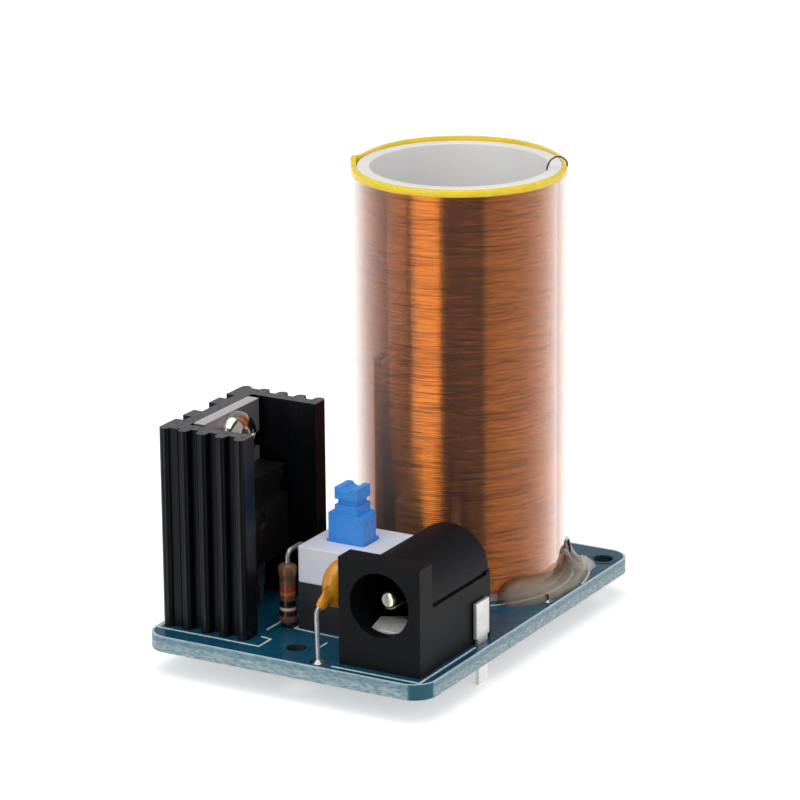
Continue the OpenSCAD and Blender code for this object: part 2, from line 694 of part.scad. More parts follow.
module jack_centre_pin() color("#d8d6cf") translate([jack_x, 0, jack_axis_z])
    rotate([90, 0, 0]) translate([0, 0, -rear_terminal_y])
        rotate_extrude() polygon(concat([[0, 0], [pin_root_r, 0],
            [pin_root_r, jack_l - strip_t - socket_l], [pin_r, jack_l - strip_t - socket_l]],
            [for (a = [0 : 15 : 90])
                [pin_r * cos(a), jack_l - strip_t - pin_recess - pin_r + pin_r * sin(a)]]));

module jack_pin_terminal() color("#c9ccd0")
    slab(jack_x - terminal_w / 2, jack_x + terminal_w / 2, rear_terminal_y,
        rear_terminal_y + strip_t, 0, jack_axis_z + terminal_w / 2);

// The spring contact bulges into the socket and is pressed down by the plug
module jack_spring_contact() color("#dcdad2") {
    upper = [leaf_tip, leaf_bump, leaf_pivot];
    translate([jack_x - leaf_w / 2, 0, 0]) rotate([90, 0, 90]) linear_extrude(leaf_w)
        polygon(concat(upper, [for (i = [2 : -1 : 0]) upper[i] - [0, leaf_t]]));
}

module jack_spring_terminal() color("#c9ccd0")
    slab(jack_x - terminal_w / 2, jack_x + terminal_w / 2, mid_terminal_y,
        mid_terminal_y + strip_t, 0, leaf_pivot[1]);

module jack_side_contact() color("#e2e4e6") {
    x0 = jack_x + jack_w / 2;
    mid = blade_y + blade_w / 2;
    slab(x0, x0 + strip_t, blade_y, blade_y + blade_w, top_z + blade_foot_h, top_z + blade_h);
    slab(x0, x0 + strip_t, mid - blade_foot_w / 2, mid + blade_foot_w / 2, 0, top_z + blade_foot_h);
    slab(x0 - (jack_w - jack_low_w) / 2, x0, mid - blade_foot_w / 2, mid + blade_foot_w / 2,
        top_z + blade_h - 1.2, top_z + blade_h - 0.4);
}

// ---- Switch ----

module switch_base() color("#1d1e22") difference() {
    slab(sw_x - sw_w / 2, sw_x + sw_w / 2, sw_y - sw_w / 2, sw_y + sw_w / 2, top_z, cover_z);
    slab(sw_x - sw_w / 2 + sw_wall, sw_x + sw_w / 2 - sw_wall,
        sw_y - sw_w / 2 + sw_wall, sw_y + sw_w / 2 - sw_wall, top_z + sw_floor, cover_z + 1);
    for (sx = [-1, 1], sy = [-1, 0, 1]) terminal_post(sx, sy);
}

module switch_cover() color("#dcdcea") difference() {
    slab(sw_x - sw_w / 2, sw_x + sw_w / 2, sw_y - sw_w / 2, sw_y + sw_w / 2, cover_z, cover_top_z);
    slab(sw_x - sw_w / 2 + sw_wall, sw_x + sw_w / 2 - sw_wall,
        sw_y - sw_w / 2 + sw_wall, sw_y + sw_w / 2 - sw_wall, cover_z - 1, cover_top_z - sw_roof);
    slab(button_x - button_w / 2 - run_clear, button_x + button_w / 2 + run_clear,
        button_y - button_d / 2 - run_clear, button_y + button_d / 2 + run_clear,
        cover_z, cover_top_z + 1);
}

module terminal_post(sx, sy) {
    x = sw_x + sx * (post_x + post_t / 2);
    slab(x - post_t / 2, x + post_t / 2, sw_y + sy * post_pitch - post_w / 2,
        sw_y + sy * post_pitch + post_w / 2, 0, post_top_z);
}

module switch_terminals() color("#c9ccd0") for (sx = [-1, 1], sy = [-1, 0, 1]) terminal_post(sx, sy);

// The button: a stepped blue head outside, a flange and a skirt that hold it inside. The head
// stands a little off the switch's middle.
module switch_button() color("#3f8ee0") {
    block_z = button_block_h;
    neck = button_w * 0.5;
    head = button_w * 0.62;
    notch = [button_w * 0.25, button_w * 0.08];
    translate([button_x, button_y, cover_top_z]) difference() {
        union() {
            slab(-button_w / 2, button_w / 2, -button_d / 2, button_d / 2,
                flange_top_z - cover_top_z - eps, block_z);
            slab(-head / 2, head / 2, -head / 2, head / 2, block_z - eps, block_z + 0.95);
            slab(-neck / 2, neck / 2, -neck / 2, neck / 2, block_z, button_h - 1.2);
            slab(-head / 2, head / 2, -head / 2, head / 2, button_h - 1.25, button_h);
        }
        // Saddle across the head, and two opposite corners of the block stepped back
        translate([0, -head, button_h + 0.35]) rotate([-90, 0, 0])
            cylinder(r = 0.75, h = 2 * head, $fn = 24);
        translate([-button_w / 2 - eps, -button_d / 2 - eps, 0.2])
            cube([notch[0] + eps, notch[1] + eps, button_block_h]);
        translate([button_w / 2 - notch[1], button_d / 2 - notch[0], 0.2])
            cube([notch[1] + eps, notch[0] + eps, button_block_h]);
    }
    difference() {
        slab(sw_x - button_w_in / 2, sw_x + button_w_in / 2,
            sw_y - button_d_in / 2, sw_y + button_d_in / 2, skirt_z, flange_top_z);
        slab(sw_x - button_w_in / 2 + skirt_t, sw_x + button_w_in / 2 - skirt_t,
            sw_y - button_d_in / 2 + skirt_t, sw_y + button_d_in / 2 - skirt_t,
            skirt_z - 1, flange_z);
    }
}

// The two contact bridges ride on the skirt and wipe the terminals
module switch_moving_contacts() color("#d9c9a0") for (s = [-1, 1]) {
    x = sw_x + s * (button_w_in / 2 + contact_t / 2);
    slab(x - contact_t / 2, x + contact_t / 2, sw_y - contact_w / 2, sw_y + contact_w / 2,
        contact_z0, contact_z0 + contact_h);
}

// The spring stands on the base's floor and lifts the flange
module switch_spring() color("#b9bcc0") {
    mean_r = (spring_d - spring_wire_d) / 2;
    rise = flange_z - spring_z0 - spring_wire_d - 2 * eps;
    path = wound_path(mean_r, rise / spring_turns, spring_z0 + spring_wire_d / 2 + eps,
        spring_turns, curl_rings, spring_wire_d);
    echo(least_gap_of_the_spring = least_gap(path, curl_rings, spring_wire_d));
    translate([sw_x, sw_y, 0]) wound_tube(path, spring_wire_d);
}

// The latch: a bent wire that swings in front of the skirt
module switch_latch_pin() color("#b9bcc0") {
    translate([sw_x, latch_y, latch_z0]) cylinder(r = latch_r, h = latch_h, $fn = 16);
    translate([sw_x, latch_y, latch_z0 + latch_h]) sphere(r = latch_r, $fn = 16);
}

// ---- Small parts ----

module resistor_body() color("#c9a376") translate([res_x, res_y, top_z + res_up])
    rotate_extrude() polygon([[0, 0], [res_d * 0.42, 0], [res_d * 0.42, res_l], [0, res_l]]);

// The thicker coated ends, which leave the bands between them
module resistor_end_caps() color("#c49a68") translate([res_x, res_y, top_z + res_up])
    for (z = [0, res_l - 1.5]) translate([0, 0, z])
        rotate_extrude() polygon([[res_d * 0.42, 0], [res_d * 0.46, 0], [res_d / 2, 0.25],
            [res_d / 2, 1.25], [res_d * 0.46, 1.5], [res_d * 0.42, 1.5]]);

// The upper lead goes over in two bends with a level stretch between them
module resistor_leads() color("#c2c4c6") {
    top = top_z + res_up + res_l;
    stub = 0.35;
    bend_r = 0.85;
    far_y = res_y + res_pitch;
    translate([res_x, res_y, trim_z]) cylinder(d = lead_d, h = top_z + res_up - trim_z, $fn = 24);
    translate([res_x, res_y, top]) cylinder(d = lead_d, h = stub, $fn = 24);
    for (side = [0, 1]) translate([res_x, side == 0 ? res_y + bend_r : far_y - bend_r, top + stub])
        rotate([90, 0, 90]) rotate([0, 0, side == 0 ? 90 : 0]) rotate_extrude(angle = 90, $fn = 48)
            translate([bend_r, 0]) circle(d = lead_d, $fn = 24);
    translate([res_x, res_y + bend_r, top + stub + bend_r]) rotate([-90, 0, 0])
        cylinder(d = lead_d, h = res_pitch - 2 * bend_r, $fn = 24);
    translate([res_x, far_y, trim_z]) cylinder(d = lead_d, h = top + stub - trim_z, $fn = 24);
}

// A dipped disc with a little coating run down each lead
module capacitor_body() color("#d99a2b") {
    half = cap_t / 2;
    translate([cap_x, cap_mid_y, cap_mid_z]) rotate([0, 90, 0])
        rotate_extrude() polygon(concat([[0, -half]],
            [for (a = [-80 : 10 : 80]) [cap_d / 2 * pow(cos(a), 0.75), half * sin(a)]],
            [[0, half]]));
    for (i = [0, 1]) translate(cap_edge(i)) difference() {
        rotate_extrude($fn = 24) polygon([[0, -cap_coat], [lead_d / 2 + 0.08, -cap_coat],
            [lead_d + 0.1, 0.3], [lead_d / 2, 1.2], [0, 1.2]]);
        translate([0, 0, -cap_coat - eps]) cylinder(d = lead_d, h = cap_coat - cap_lead_end, $fn = 24);
    }
}

module capacitor_leads() color("#c2c4c6") for (i = [0, 1]) {
    knee = cap_edge(i) - [0, 0, cap_coat + cap_neck];
    elbow = [cap_x, cap_y + (i == 0 ? -1 : 1) * cap_pitch / 2, knee[2] - cap_bend];
    translate([elbow[0], elbow[1], trim_z]) cylinder(d = lead_d, h = elbow[2] - trim_z, $fn = 24);
    translate(elbow) sphere(d = lead_d + bend_swell, $fn = 24);
    rod(elbow, knee, lead_d / 2 - eps);
    translate(knee) sphere(d = lead_d + bend_swell, $fn = 24);
    translate(knee) cylinder(d = lead_d, h = cap_neck + cap_coat - cap_lead_end, $fn = 24);
}

circuit_board();
front_copper();
primary_track();
solder_joints();
coil_former();
secondary_winding();
insulation_film();
top_tape();
top_wire_end();
bottom_wire_lead();
glue_bead();
heatsink();
heatsink_pins();
transistor_tab();
transistor_body();
transistor_leads();
transistor_screw();
jack_housing();
jack_centre_pin();
jack_pin_terminal();
jack_spring_contact();
jack_spring_terminal();
jack_side_contact();
switch_base();
switch_cover();
switch_button();
switch_spring();
switch_latch_pin();
switch_moving_contacts();
switch_terminals();
resistor_body();
resistor_end_caps();
resistor_leads();
capacitor_body();
capacitor_leads();
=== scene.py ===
"""Looks of the desktop resonant transformer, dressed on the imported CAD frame.

The file is laid out as an add-on: one operator makes each piece or group of pieces, and
main() runs them in order. Lengths inside the functions are millimetres in the frame's own
axes (X along the front edge, Y to the back, Z up), and put() turns them into metres.
"""
import math

import bmesh
import bpy
import numpy as np
from mathutils import Matrix, Vector


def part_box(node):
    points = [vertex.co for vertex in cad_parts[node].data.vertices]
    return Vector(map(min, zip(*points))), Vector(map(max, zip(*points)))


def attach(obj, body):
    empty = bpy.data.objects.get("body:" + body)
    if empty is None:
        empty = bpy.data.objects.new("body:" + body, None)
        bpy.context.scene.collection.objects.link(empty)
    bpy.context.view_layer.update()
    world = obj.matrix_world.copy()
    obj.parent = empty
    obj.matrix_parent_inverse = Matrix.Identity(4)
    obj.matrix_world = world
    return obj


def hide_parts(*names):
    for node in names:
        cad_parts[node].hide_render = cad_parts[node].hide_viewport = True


bl_info = {
    "name": "Desktop resonant transformer",
    "version": (1, 0, 0),
    "blender": (4, 5, 0),
    "location": "View3D > Sidebar > Transformer",
    "description": "Makes the finished pieces of a desktop resonant transformer",
    "category": "Object",
}

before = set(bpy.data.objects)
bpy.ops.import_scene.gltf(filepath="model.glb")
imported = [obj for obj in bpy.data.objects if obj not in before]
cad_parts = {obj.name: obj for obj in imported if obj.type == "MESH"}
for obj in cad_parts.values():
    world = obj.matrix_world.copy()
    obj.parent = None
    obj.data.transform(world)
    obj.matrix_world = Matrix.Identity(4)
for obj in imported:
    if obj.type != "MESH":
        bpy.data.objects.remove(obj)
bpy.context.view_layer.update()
MM = 0.001


def span(node):
    """Lowest and highest corner of a CAD node, in millimetres."""
    low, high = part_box(node)
    return np.array(low) / MM, np.array(high) / MM


# Places taken from the frame
BOARD_LOW, BOARD_HIGH = span("circuit_board")
TOP_Z = BOARD_HIGH[2]
FORMER_LOW, FORMER_HIGH = span("coil_former")
COIL = (FORMER_LOW + FORMER_HIGH) / 2
FORMER_R = (FORMER_HIGH[0] - FORMER_LOW[0]) / 2
RIM_Z = FORMER_HIGH[2]
FILM_LOW, FILM_HIGH = span("insulation_film")
COIL_R = (FILM_HIGH[1] - FILM_LOW[1]) / 2

# Sizes of the CAD that the boxes of its nodes don't show
FORMER_WALL = 1.3
CORNER_R = 2.5
DISC_R = 2.4
CAP_LEAD_R = 0.27

# The photograph's camera: where it stands, which way it looks and its lens
CAMERA_AT = (0.197162, -0.342602, 0.145968)
CAMERA_TURN = 29.809
CAMERA_DROP = 17.073
CAMERA_ROLL = -0.519
CAMERA_LENS = 186.16


# ---- Colours and settings ----

def linear(code):
    """An sRGB hex colour as linear red, green, blue and alpha."""
    value = np.array([int(code[i:i + 2], 16) for i in (1, 3, 5)]) / 255
    value = np.where(value <= 0.04045, value / 12.92, ((value + 0.055) / 1.055) ** 2.4)
    return (*value.tolist(), 1.0)


def colour_setting(name, description, code):
    return bpy.props.FloatVectorProperty(
        name=name, description=description, default=linear(code), size=4, min=0, max=1,
        subtype="COLOR")


def length_setting(name, description, millimetres):
    return bpy.props.FloatProperty(
        name=name, description=description, default=millimetres * MM, min=0, unit="LENGTH")


class TransformerColours(bpy.types.PropertyGroup):
    """Colours of the finishes."""
    mask: colour_setting("Solder mask", "Colour of the board's top and underside", "#0f4a63")
    fibre: colour_setting("Glass fibre", "Colour of the board's cut sides", "#a6b7be")
    ink: colour_setting("Ink", "Colour of the printed outlines", "#dfe8ea")
    former: colour_setting("Former", "Colour of the coil's plastic tube", "#f4f3f1")
    enamel: colour_setting("Enamel", "Colour of the winding's enamelled wire", "#e9861c")
    tape: colour_setting("Tape", "Colour of the tape at the rim", "#ffe034")
    glue: colour_setting("Glue", "Colour of the glue at the coil's foot", "#e9dcc4")
    anodised: colour_setting("Anodising", "Colour of the heatsink", "#0d0f14")
    jack: colour_setting("Jack", "Colour of the jack's housing", "#0b0d12")
    cover: colour_setting("Switch cover", "Colour of the switch's cover", "#e6e8f2")
    button: colour_setting("Button", "Colour of the push button", "#3a97ef")
    capacitor: colour_setting("Capacitor", "Colour of the capacitor's coating", "#d8932a")


class TransformerSizes(bpy.types.PropertyGroup):
    """Sizes of the fine detail."""
    edge: length_setting("Edge rounding", "Radius of moulded edges", 0.22)
    turn: length_setting("Turn pitch", "Height of one turn of the winding", 0.2)
    line: length_setting("Line width", "Width of the printed outlines", 0.22)


class TransformerLight(bpy.types.PropertyGroup):
    """Levels of the studio's light, where 1 is as bright as a lit white surface."""
    strip: bpy.props.FloatProperty(
        name="Strip", description="Level of the tall lamp at the left", default=1.4, min=0)
    side: bpy.props.FloatProperty(
        name="Side", description="Level of the large panel at the right", default=0.44, min=0)
    top: bpy.props.FloatProperty(
        name="Top", description="Level of the panel overhead", default=1.6, min=0)
    room: bpy.props.FloatProperty(
        name="Room", description="Level of the light from all round", default=0.42, min=0)


def chosen(name):
    """One of the colour settings, as it stands."""
    return tuple(getattr(bpy.context.scene.transformer_colours, name))


def sizes():
    return bpy.context.scene.transformer_sizes


# ---- Shapes ----

def unit(vector):
    """A vector, or each row of an array of them, divided by its length."""
    vector = np.asarray(vector, float)
    return vector / np.linalg.norm(vector, axis=-1, keepdims=True)


def grid_faces(rows, columns, wrap_rows=False, wrap_columns=True):
    """Four-sided faces between neighbouring points of a grid; wrap joins the last to the first."""
    r = np.arange(rows if wrap_rows else rows - 1)[:, None]
    c = np.arange(columns if wrap_columns else columns - 1)[None, :]
    r2, c2 = (r + 1) % rows, (c + 1) % columns
    return np.stack([r * columns + c, r * columns + c2, r2 * columns + c2, r2 * columns + c],
                    axis=-1).reshape(-1, 4)


def turned(origin, axis, profile, segments=64):
    """Surface of revolution: for each (height, radius) of the profile a ring at that height
    along the axis from the origin. Up the outside and down the inside faces outwards."""
    axis = unit(axis)
    side = unit(np.cross((0, 1, 0) if abs(axis[1]) < 0.9 else (1, 0, 0), axis))
    other = np.cross(axis, side)
    height, radius = np.asarray(profile, float).T[:, :, None, None]
    angle = np.linspace(0, 2 * np.pi, segments, endpoint=False)[None, :, None]
    return origin + height * axis + radius * (np.cos(angle) * side + np.sin(angle) * other)


def swept(path, section, up, closed=False, scale=None):
    """A section carried along a path. A section's point (a, b) lies a along up and b along
    the side, which is the path's direction crossed with up, and widened at corners so that
    the stripe keeps its width."""
    path = np.asarray(path, float)
    step = unit(np.roll(path, -1, 0) - path)
    before = np.roll(step, 1, 0)
    if not closed:
        step[-1], before[0] = step[-2], step[0]
    along = unit(step + before)
    up = np.broadcast_to(np.asarray(up, float), path.shape)
    up = unit(up - along * np.sum(up * along, -1, keepdims=True))
    miter = 1 / np.clip(np.sum(along * step, -1, keepdims=True), 0.5, 1)
    side = np.cross(along, up) * miter
    section = np.asarray(section, float)[None]
    scale = np.ones(len(path)) if scale is None else np.asarray(scale, float)
    return path[:, None] + scale[:, None, None] * (
        section[..., :1] * up[:, None] + section[..., 1:] * side[:, None])


def ring_section(radius, sides):
    angle = np.linspace(0, 2 * np.pi, sides, endpoint=False)
    return radius * np.stack([np.cos(angle), np.sin(angle)], -1)


def curve_through(points, steps):
    """Smooth curve through the points: on each span a cubic whose slope at a point is half
    the step between its neighbours."""
    p = np.asarray(points, float)
    p = np.vstack([2 * p[0] - p[1], p, 2 * p[-1] - p[-2]])
    t = np.linspace(0, 1, steps, endpoint=False)[None, :, None]
    a, b, c, d = (p[i:len(p) - 3 + i, None] for i in range(4))
    curve = 0.5 * (2 * b + (c - a) * t + (2 * a - 5 * b + 4 * c - d) * t ** 2
                   + (3 * b - a - 3 * c + d) * t ** 3)
    return np.vstack([curve.reshape(-1, p.shape[1]), p[-2]])


def on_coil(angle, radius, z):
    """Points round the coil's axis: angle in radians, radius and Z in the frame."""
    return np.stack(np.broadcast_arrays(
        COIL[0] + radius * np.cos(angle), COIL[1] + radius * np.sin(angle), z), -1)


def around(angle, radius, height):
    """The same with the angle in degrees and the height above the board."""
    return on_coil(np.radians(np.asarray(angle, float)), radius, TOP_Z + height)


def ripple(angle, height, seed):
    """Smooth unevenness of about -1 to 1 made of a few waves, for edges cut by hand."""
    rng = np.random.default_rng(seed)
    total = 0
    for wave in (1, 2, 3, 5, 8, 13):
        phase, climb = rng.uniform(0, 2 * np.pi), rng.uniform(-0.35, 0.35)
        total = total + np.sin(wave * angle + climb * height * wave + phase) / wave ** 0.7
    return total / 2.2


def shape(points, wrap_rows=False, wrap_columns=True, caps=False):
    """Points and faces of a grid of points, with end caps where they are asked for."""
    rows, columns = points.shape[:2]
    faces = grid_faces(rows, columns, wrap_rows, wrap_columns).tolist()
    if caps:
        first = np.arange(columns)
        faces += [first[::-1].tolist(), (first + (rows - 1) * columns).tolist()]
    return points.reshape(-1, 3), faces


def joined(shapes):
    """Several (points, faces) as one."""
    points, faces, start = [], [], 0
    for some_points, some_faces in shapes:
        points.append(some_points)
        faces += [[start + i for i in face] for face in some_faces]
        start += len(some_points)
    return np.vstack(points), faces


def strand(path, radius, up, steps, sides=10, scale=None):
    """Round wire with closed ends along a smooth curve through the path's points."""
    return shape(swept(curve_through(path, steps), ring_section(radius, sides), up,
                       scale=scale), caps=True)


def settle(mesh, smooth):
    """Smooth shading, with edges sharper than smooth degrees kept hard."""
    mesh.polygons.foreach_set("use_smooth", np.ones(len(mesh.polygons), bool))
    mesh.set_sharp_from_angle(angle=math.radians(smooth))
    mesh.update()


def put(name, made, finish, slot, nodes=(), body="board", smooth=35, weld=True):
    """Makes a piece from points in millimetres and faces, in place of the CAD nodes."""
    points, faces = made
    mesh = bpy.data.meshes.new(name)
    mesh.from_pydata((np.asarray(points) * MM).tolist(), [], faces)
    if weld:
        work = bmesh.new()
        work.from_mesh(mesh)
        bmesh.ops.remove_doubles(work, verts=work.verts, dist=0.0005 * MM)
        bmesh.ops.recalc_face_normals(work, faces=work.faces)
        work.to_mesh(mesh)
        work.free()
    settle(mesh, smooth)
    return place(name, mesh, finish, slot, nodes, body)


def place(name, mesh, finish, slot, nodes, body):
    mesh.materials.append(finish)
    piece = bpy.data.objects.new(name, mesh)
    bpy.context.scene.collection.objects.link(piece)
    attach(piece, body)
    if nodes:
        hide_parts(*nodes)
    return piece


def dressed(name, node, finish, slot, width=0.0, segments=2, body="board", smooth=35):
    """A copy of a CAD node: its triangles are merged, flat faces joined and edges rounded."""
    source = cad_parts[node].data
    points = np.empty(len(source.vertices) * 3, np.float32)
    corners = np.empty(len(source.loops), np.int32)
    source.vertices.foreach_get("co", points)
    source.loops.foreach_get("vertex_index", corners)
    mesh = bpy.data.meshes.new(name)
    mesh.from_pydata(points.reshape(-1, 3).tolist(), [], corners.reshape(-1, 3).tolist())
    work = bmesh.new()
    work.from_mesh(mesh)
    bmesh.ops.remove_doubles(work, verts=work.verts, dist=0.002 * MM)
    bmesh.ops.dissolve_limit(work, angle_limit=math.radians(0.5), verts=work.verts,
                             edges=work.edges)
    work.to_mesh(mesh)
    work.free()
    settle(mesh, smooth)
    piece = place(name, mesh, finish, slot, [node], body)
    if width:
        bevel = piece.modifiers.new("Rounded edges", "BEVEL")
        bevel.width = width * MM
        bevel.segments = segments
        bevel.limit_method = "ANGLE"
        bevel.angle_limit = math.radians(smooth)
        bevel.harden_normals = True
    return piece


def keep(node, finish):
    """Gives a CAD node that is shown as it is its finish."""
    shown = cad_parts[node]
    if not shown.material_slots:
        shown.data.materials.append(finish)
    for slot in shown.material_slots:
        slot.material = finish


# ---- Finishes ----

def fill(tree, item, inputs):
    """Fills a node's inputs with values or links."""
    for socket, value in inputs.items():
        if isinstance(value, bpy.types.NodeSocket):
            tree.links.new(value, item.inputs[socket])
        else:
            item.inputs[socket].default_value = value


def add(tree, kind, inputs=None, output=0, **settings):
    """Adds one node, sets its properties, fills its inputs and gives one of its outputs."""
    item = tree.nodes.new("ShaderNode" + kind)
    for key, value in settings.items():
        setattr(item, key, value)
    fill(tree, item, inputs or {})
    return item.outputs[output]


def blank(name, colour, roughness, metallic=0.0, **sockets):
    """A new material with its shader's plain values set on the shader itself."""
    material = bpy.data.materials.new(name)
    material.use_nodes = True
    tree = material.node_tree
    shader = tree.nodes["Principled BSDF"]
    fill(tree, shader, {"Base Color": colour, "Roughness": roughness, "Metallic": metallic})
    fill(tree, shader, {socket.replace("_", " "): value for socket, value in sockets.items()})
    return material, tree, shader


def facing_up(tree):
    """How far the surface faces up: 1 on top, 0 on walls and -1 underneath."""
    return add(tree, "SeparateXYZ", {0: add(tree, "NewGeometry", output="Normal")}, "Z")


def height_of(tree):
    """How high the surface lies in the frame, in metres."""
    return add(tree, "SeparateXYZ", {0: add(tree, "TexCoord", output="Object")}, "Z")


def grain(tree, size, stretch=(1, 1, 1), low=0.35, high=0.65, to=(0.0, 1.0), detail=2.0):
    """Noise whose patches are size millimetres across, stretched along each axis."""
    scaled = add(tree, "Mapping", {"Vector": add(tree, "TexCoord", output="Object"),
                                   "Scale": [1 / (size * s * MM) for s in stretch]})
    noise = add(tree, "TexNoise", {"Vector": scaled, "Scale": 1.0, "Detail": detail})
    return add(tree, "MapRange", {"Value": noise, "From Min": low, "From Max": high,
                                  "To Min": to[0], "To Max": to[1]})


def comparing(tree, value, limit, soft):
    """0 below the limit and 1 above it, with a soft step, all in the value's own unit."""
    return add(tree, "MapRange", {"Value": value, "From Min": limit - soft,
                                  "From Max": limit + soft})


def between(tree, value, low, high):
    """1 between two limits and 0 outside them. Each limit is (place, softness), in
    millimetres."""
    above, past = (comparing(tree, value, place * MM, soft * MM) for place, soft in (low, high))
    return add(tree, "Math", {0: above, 1: past}, operation="SUBTRACT")


def layered(tree, colour, *layers):
    """A colour with others laid over it in turn. Each layer is (amount, colour), and covers
    what is below it where its amount is 1."""
    for amount, over in layers:
        colour = add(tree, "Mix", {0: amount, 6: colour, 7: over}, 2, data_type="RGBA")
    return colour


def covered(tree, shader, *layers):
    """Lays further layers over the shader's own colour, which is linked already."""
    plain = shader.inputs["Base Color"].links[0].from_socket
    fill(tree, shader, {"Base Color": layered(tree, plain, *layers)})


def raised(tree, shader, height, depth, before=None):
    """Relief of a real depth in millimetres, on top of the relief before it."""
    inputs = {"Height": height, "Distance": depth * MM, "Strength": 1.0}
    if before is not None:
        inputs["Normal"] = before
    normal = add(tree, "Bump", inputs)
    fill(tree, shader, {"Normal": normal})
    return normal


def shade(colour, factor):
    return (*[min(1.0, c * factor) for c in colour[:3]], 1.0)


def worked(name, colour, tint, patch, fine, depth, roughness, spread=0.06, metallic=0.0,
           stretch=(1, 1, 1), **sockets):
    """A finish whose colour drifts to tint in patches, with a fine grain of a real depth
    that also varies the roughness. Sizes are in millimetres."""
    material, tree, shader = blank(name, colour, roughness, metallic, **sockets)
    drift, texture = grain(tree, patch, stretch), grain(tree, fine, stretch)
    fill(tree, shader, {
        "Base Color": layered(tree, colour, (drift, tint)),
        "Roughness": add(tree, "MapRange", {
            "Value": texture, "To Min": roughness - spread, "To Max": roughness + spread})})
    raised(tree, shader, texture, depth)
    return material, tree, shader


def board_finish():
    # FR-4 laminate under a glossy solder mask: smooth and wet-looking on the faces, where the
    # weave shows faintly, and dull streaky glass fibre on the routed sides. Along the rim a pale
    # line is painted: a painted highlight on the top edge, where the mask also stops short.
    mask, fibre = chosen("mask"), chosen("fibre")
    material, tree, shader = blank("glossy solder mask on FR-4", mask, 0.2, Coat_Weight=0.25,
                                   Coat_Roughness=0.12, IOR=1.5)
    weave = grain(tree, 0.45, (1.6, 0.8, 1))
    # Distance outwards from the corner arcs' centres, which is the corner radius at the rim
    where = flat = add(tree, "TexCoord", output="Object")
    half = ((BOARD_HIGH - BOARD_LOW) / 2 - CORNER_R) * MM
    for operation, value in (("MULTIPLY", (1, 1, 0)), ("ABSOLUTE", (0, 0, 0)),
                             ("SUBTRACT", (half[0], half[1], 0)), ("MAXIMUM", (0, 0, 0))):
        flat = add(tree, "VectorMath", {0: flat, 1: value}, operation=operation)
    rim = add(tree, "VectorMath", {0: flat}, "Value", operation="LENGTH")
    face = layered(
        tree, mask, (grain(tree, 5.0, low=0.3, high=0.7), shade(mask, 1.3)),
        (grain(tree, 0.45, (0.8, 1.6, 1), 0.4, 0.9, (0, 0.3)), shade(mask, 1.6)),
        # The pale line round the rim is a painted highlight on the top edge
        (comparing(tree, rim, (CORNER_R - 0.24) * MM, 0.02 * MM), linear("#cfe6ee")))
    # Sides: pale fibre with darker teal drawn along it by the router, darkest under the rim
    streak = grain(tree, 0.2, (4, 4, 0.8), 0.36, 0.6, detail=4.0)
    pale = grain(tree, 0.16, (3, 3, 1), 0.5, 0.66, (0, 0.4))
    under = between(tree, height_of(tree), (TOP_Z - 0.62, 0.12), (TOP_Z - 0.12, 0.03))
    under = add(tree, "Math", {0: under, 1: 0.5}, operation="MULTIPLY")
    # Darker teal on the sides round the front right corner
    along = add(tree, "VectorMath", {0: where, 1: (1, -1, 0)}, "Value",
                operation="DOT_PRODUCT")
    corner = BOARD_HIGH[0] - BOARD_LOW[1] - 1.35 * CORNER_R * (2 - math.sqrt(2))
    side = layered(tree, fibre, (streak, linear("#6d909d")), (pale, linear("#d3dbde")),
                   (under, linear("#3d7b90")),
                   (comparing(tree, along, corner * MM, 0.1 * MM), linear("#1d6075")))
    # Walls of the holes: painted shade, the fibre dark green-black as in shadow, with the sides'
    # own look outside them
    outside = comparing(tree, rim, (CORNER_R - 0.15) * MM, 0.02 * MM)
    up_or_down = add(tree, "Math", {0: facing_up(tree)}, operation="ABSOLUTE")
    on_face = comparing(tree, up_or_down, 0.75, 0.1)
    # The dark base colour is the painted shade on the hole walls
    fill(tree, shader, {
        "Base Color": layered(tree, linear("#1b3234"), (outside, side), (on_face, face)),
        "Roughness": add(tree, "MapRange", {"Value": on_face, "To Min": 0.55, "To Max": 0.2})})
    first = raised(tree, shader, weave, 0.002)
    raised(tree, shader, streak, 0.006, first)
    return material


def winding_finish():
    # Magnet wire, close wound: enamel over bright copper, an orange mirror in itself. Every
    # turn is round, so lamps spread up and down the coil but keep sharp sides. Painted shade
    # makes dark lines where turns part and cross; painted highlights, paler ones where turns ride
    # up.
    enamel = chosen("enamel")
    material, tree, shader = blank("enamelled copper wire", enamel, 0.15, 0.97)
    drift = grain(tree, 7.0, (1, 1, 0.5), 0.3, 0.7)
    # Gaps between turns, with painted shade in them: long along the wire and one turn high
    gaps_with_shade = grain(tree, 0.085, (70, 70, 1), 0.46, 0.64, (0, 0.7))
    # Painted highlight on turns that ride up
    pale = grain(tree, 0.1, (70, 70, 1), 0.58, 0.74, (0, 0.4), 1.0)
    # Painted shade where turns cross
    crossing_shade = grain(tree, 0.1, (26, 26, 1), 0.62, 0.72, (0, 0.7), 1.0)
    fill(tree, shader, {"Base Color": layered(
        tree, enamel, (drift, linear("#d6771c")), (gaps_with_shade, linear("#7a3210")),
        (pale, linear("#f0a84c")), (crossing_shade, linear("#3a1508")))})
    raised(tree, shader, gaps_with_shade, -0.004)
    return material


def film_finish():
    # Clear polyester film, smooth and drawn tight: only a faint haze face on, and a mirror
    # at a grazing angle.
    material, tree, shader = blank("clear polyester film", linear("#fffdfb"), 0.05)
    facing = add(tree, "LayerWeight", {"Blend": 0.5}, "Facing")
    grazing = add(tree, "Math", {0: facing, 1: 2.3}, operation="POWER")
    fill(tree, shader, {
        "Alpha": add(tree, "MapRange", {"Value": grazing, "To Min": 0.018}),
        "Metallic": add(tree, "MapRange", {"Value": grazing, "From Max": 0.3, "To Min": 0.2})})
    raised(tree, shader, grain(tree, 3.0, (1, 1, 2.5), 0.2, 0.8, detail=1.0), 0.012)
    return material


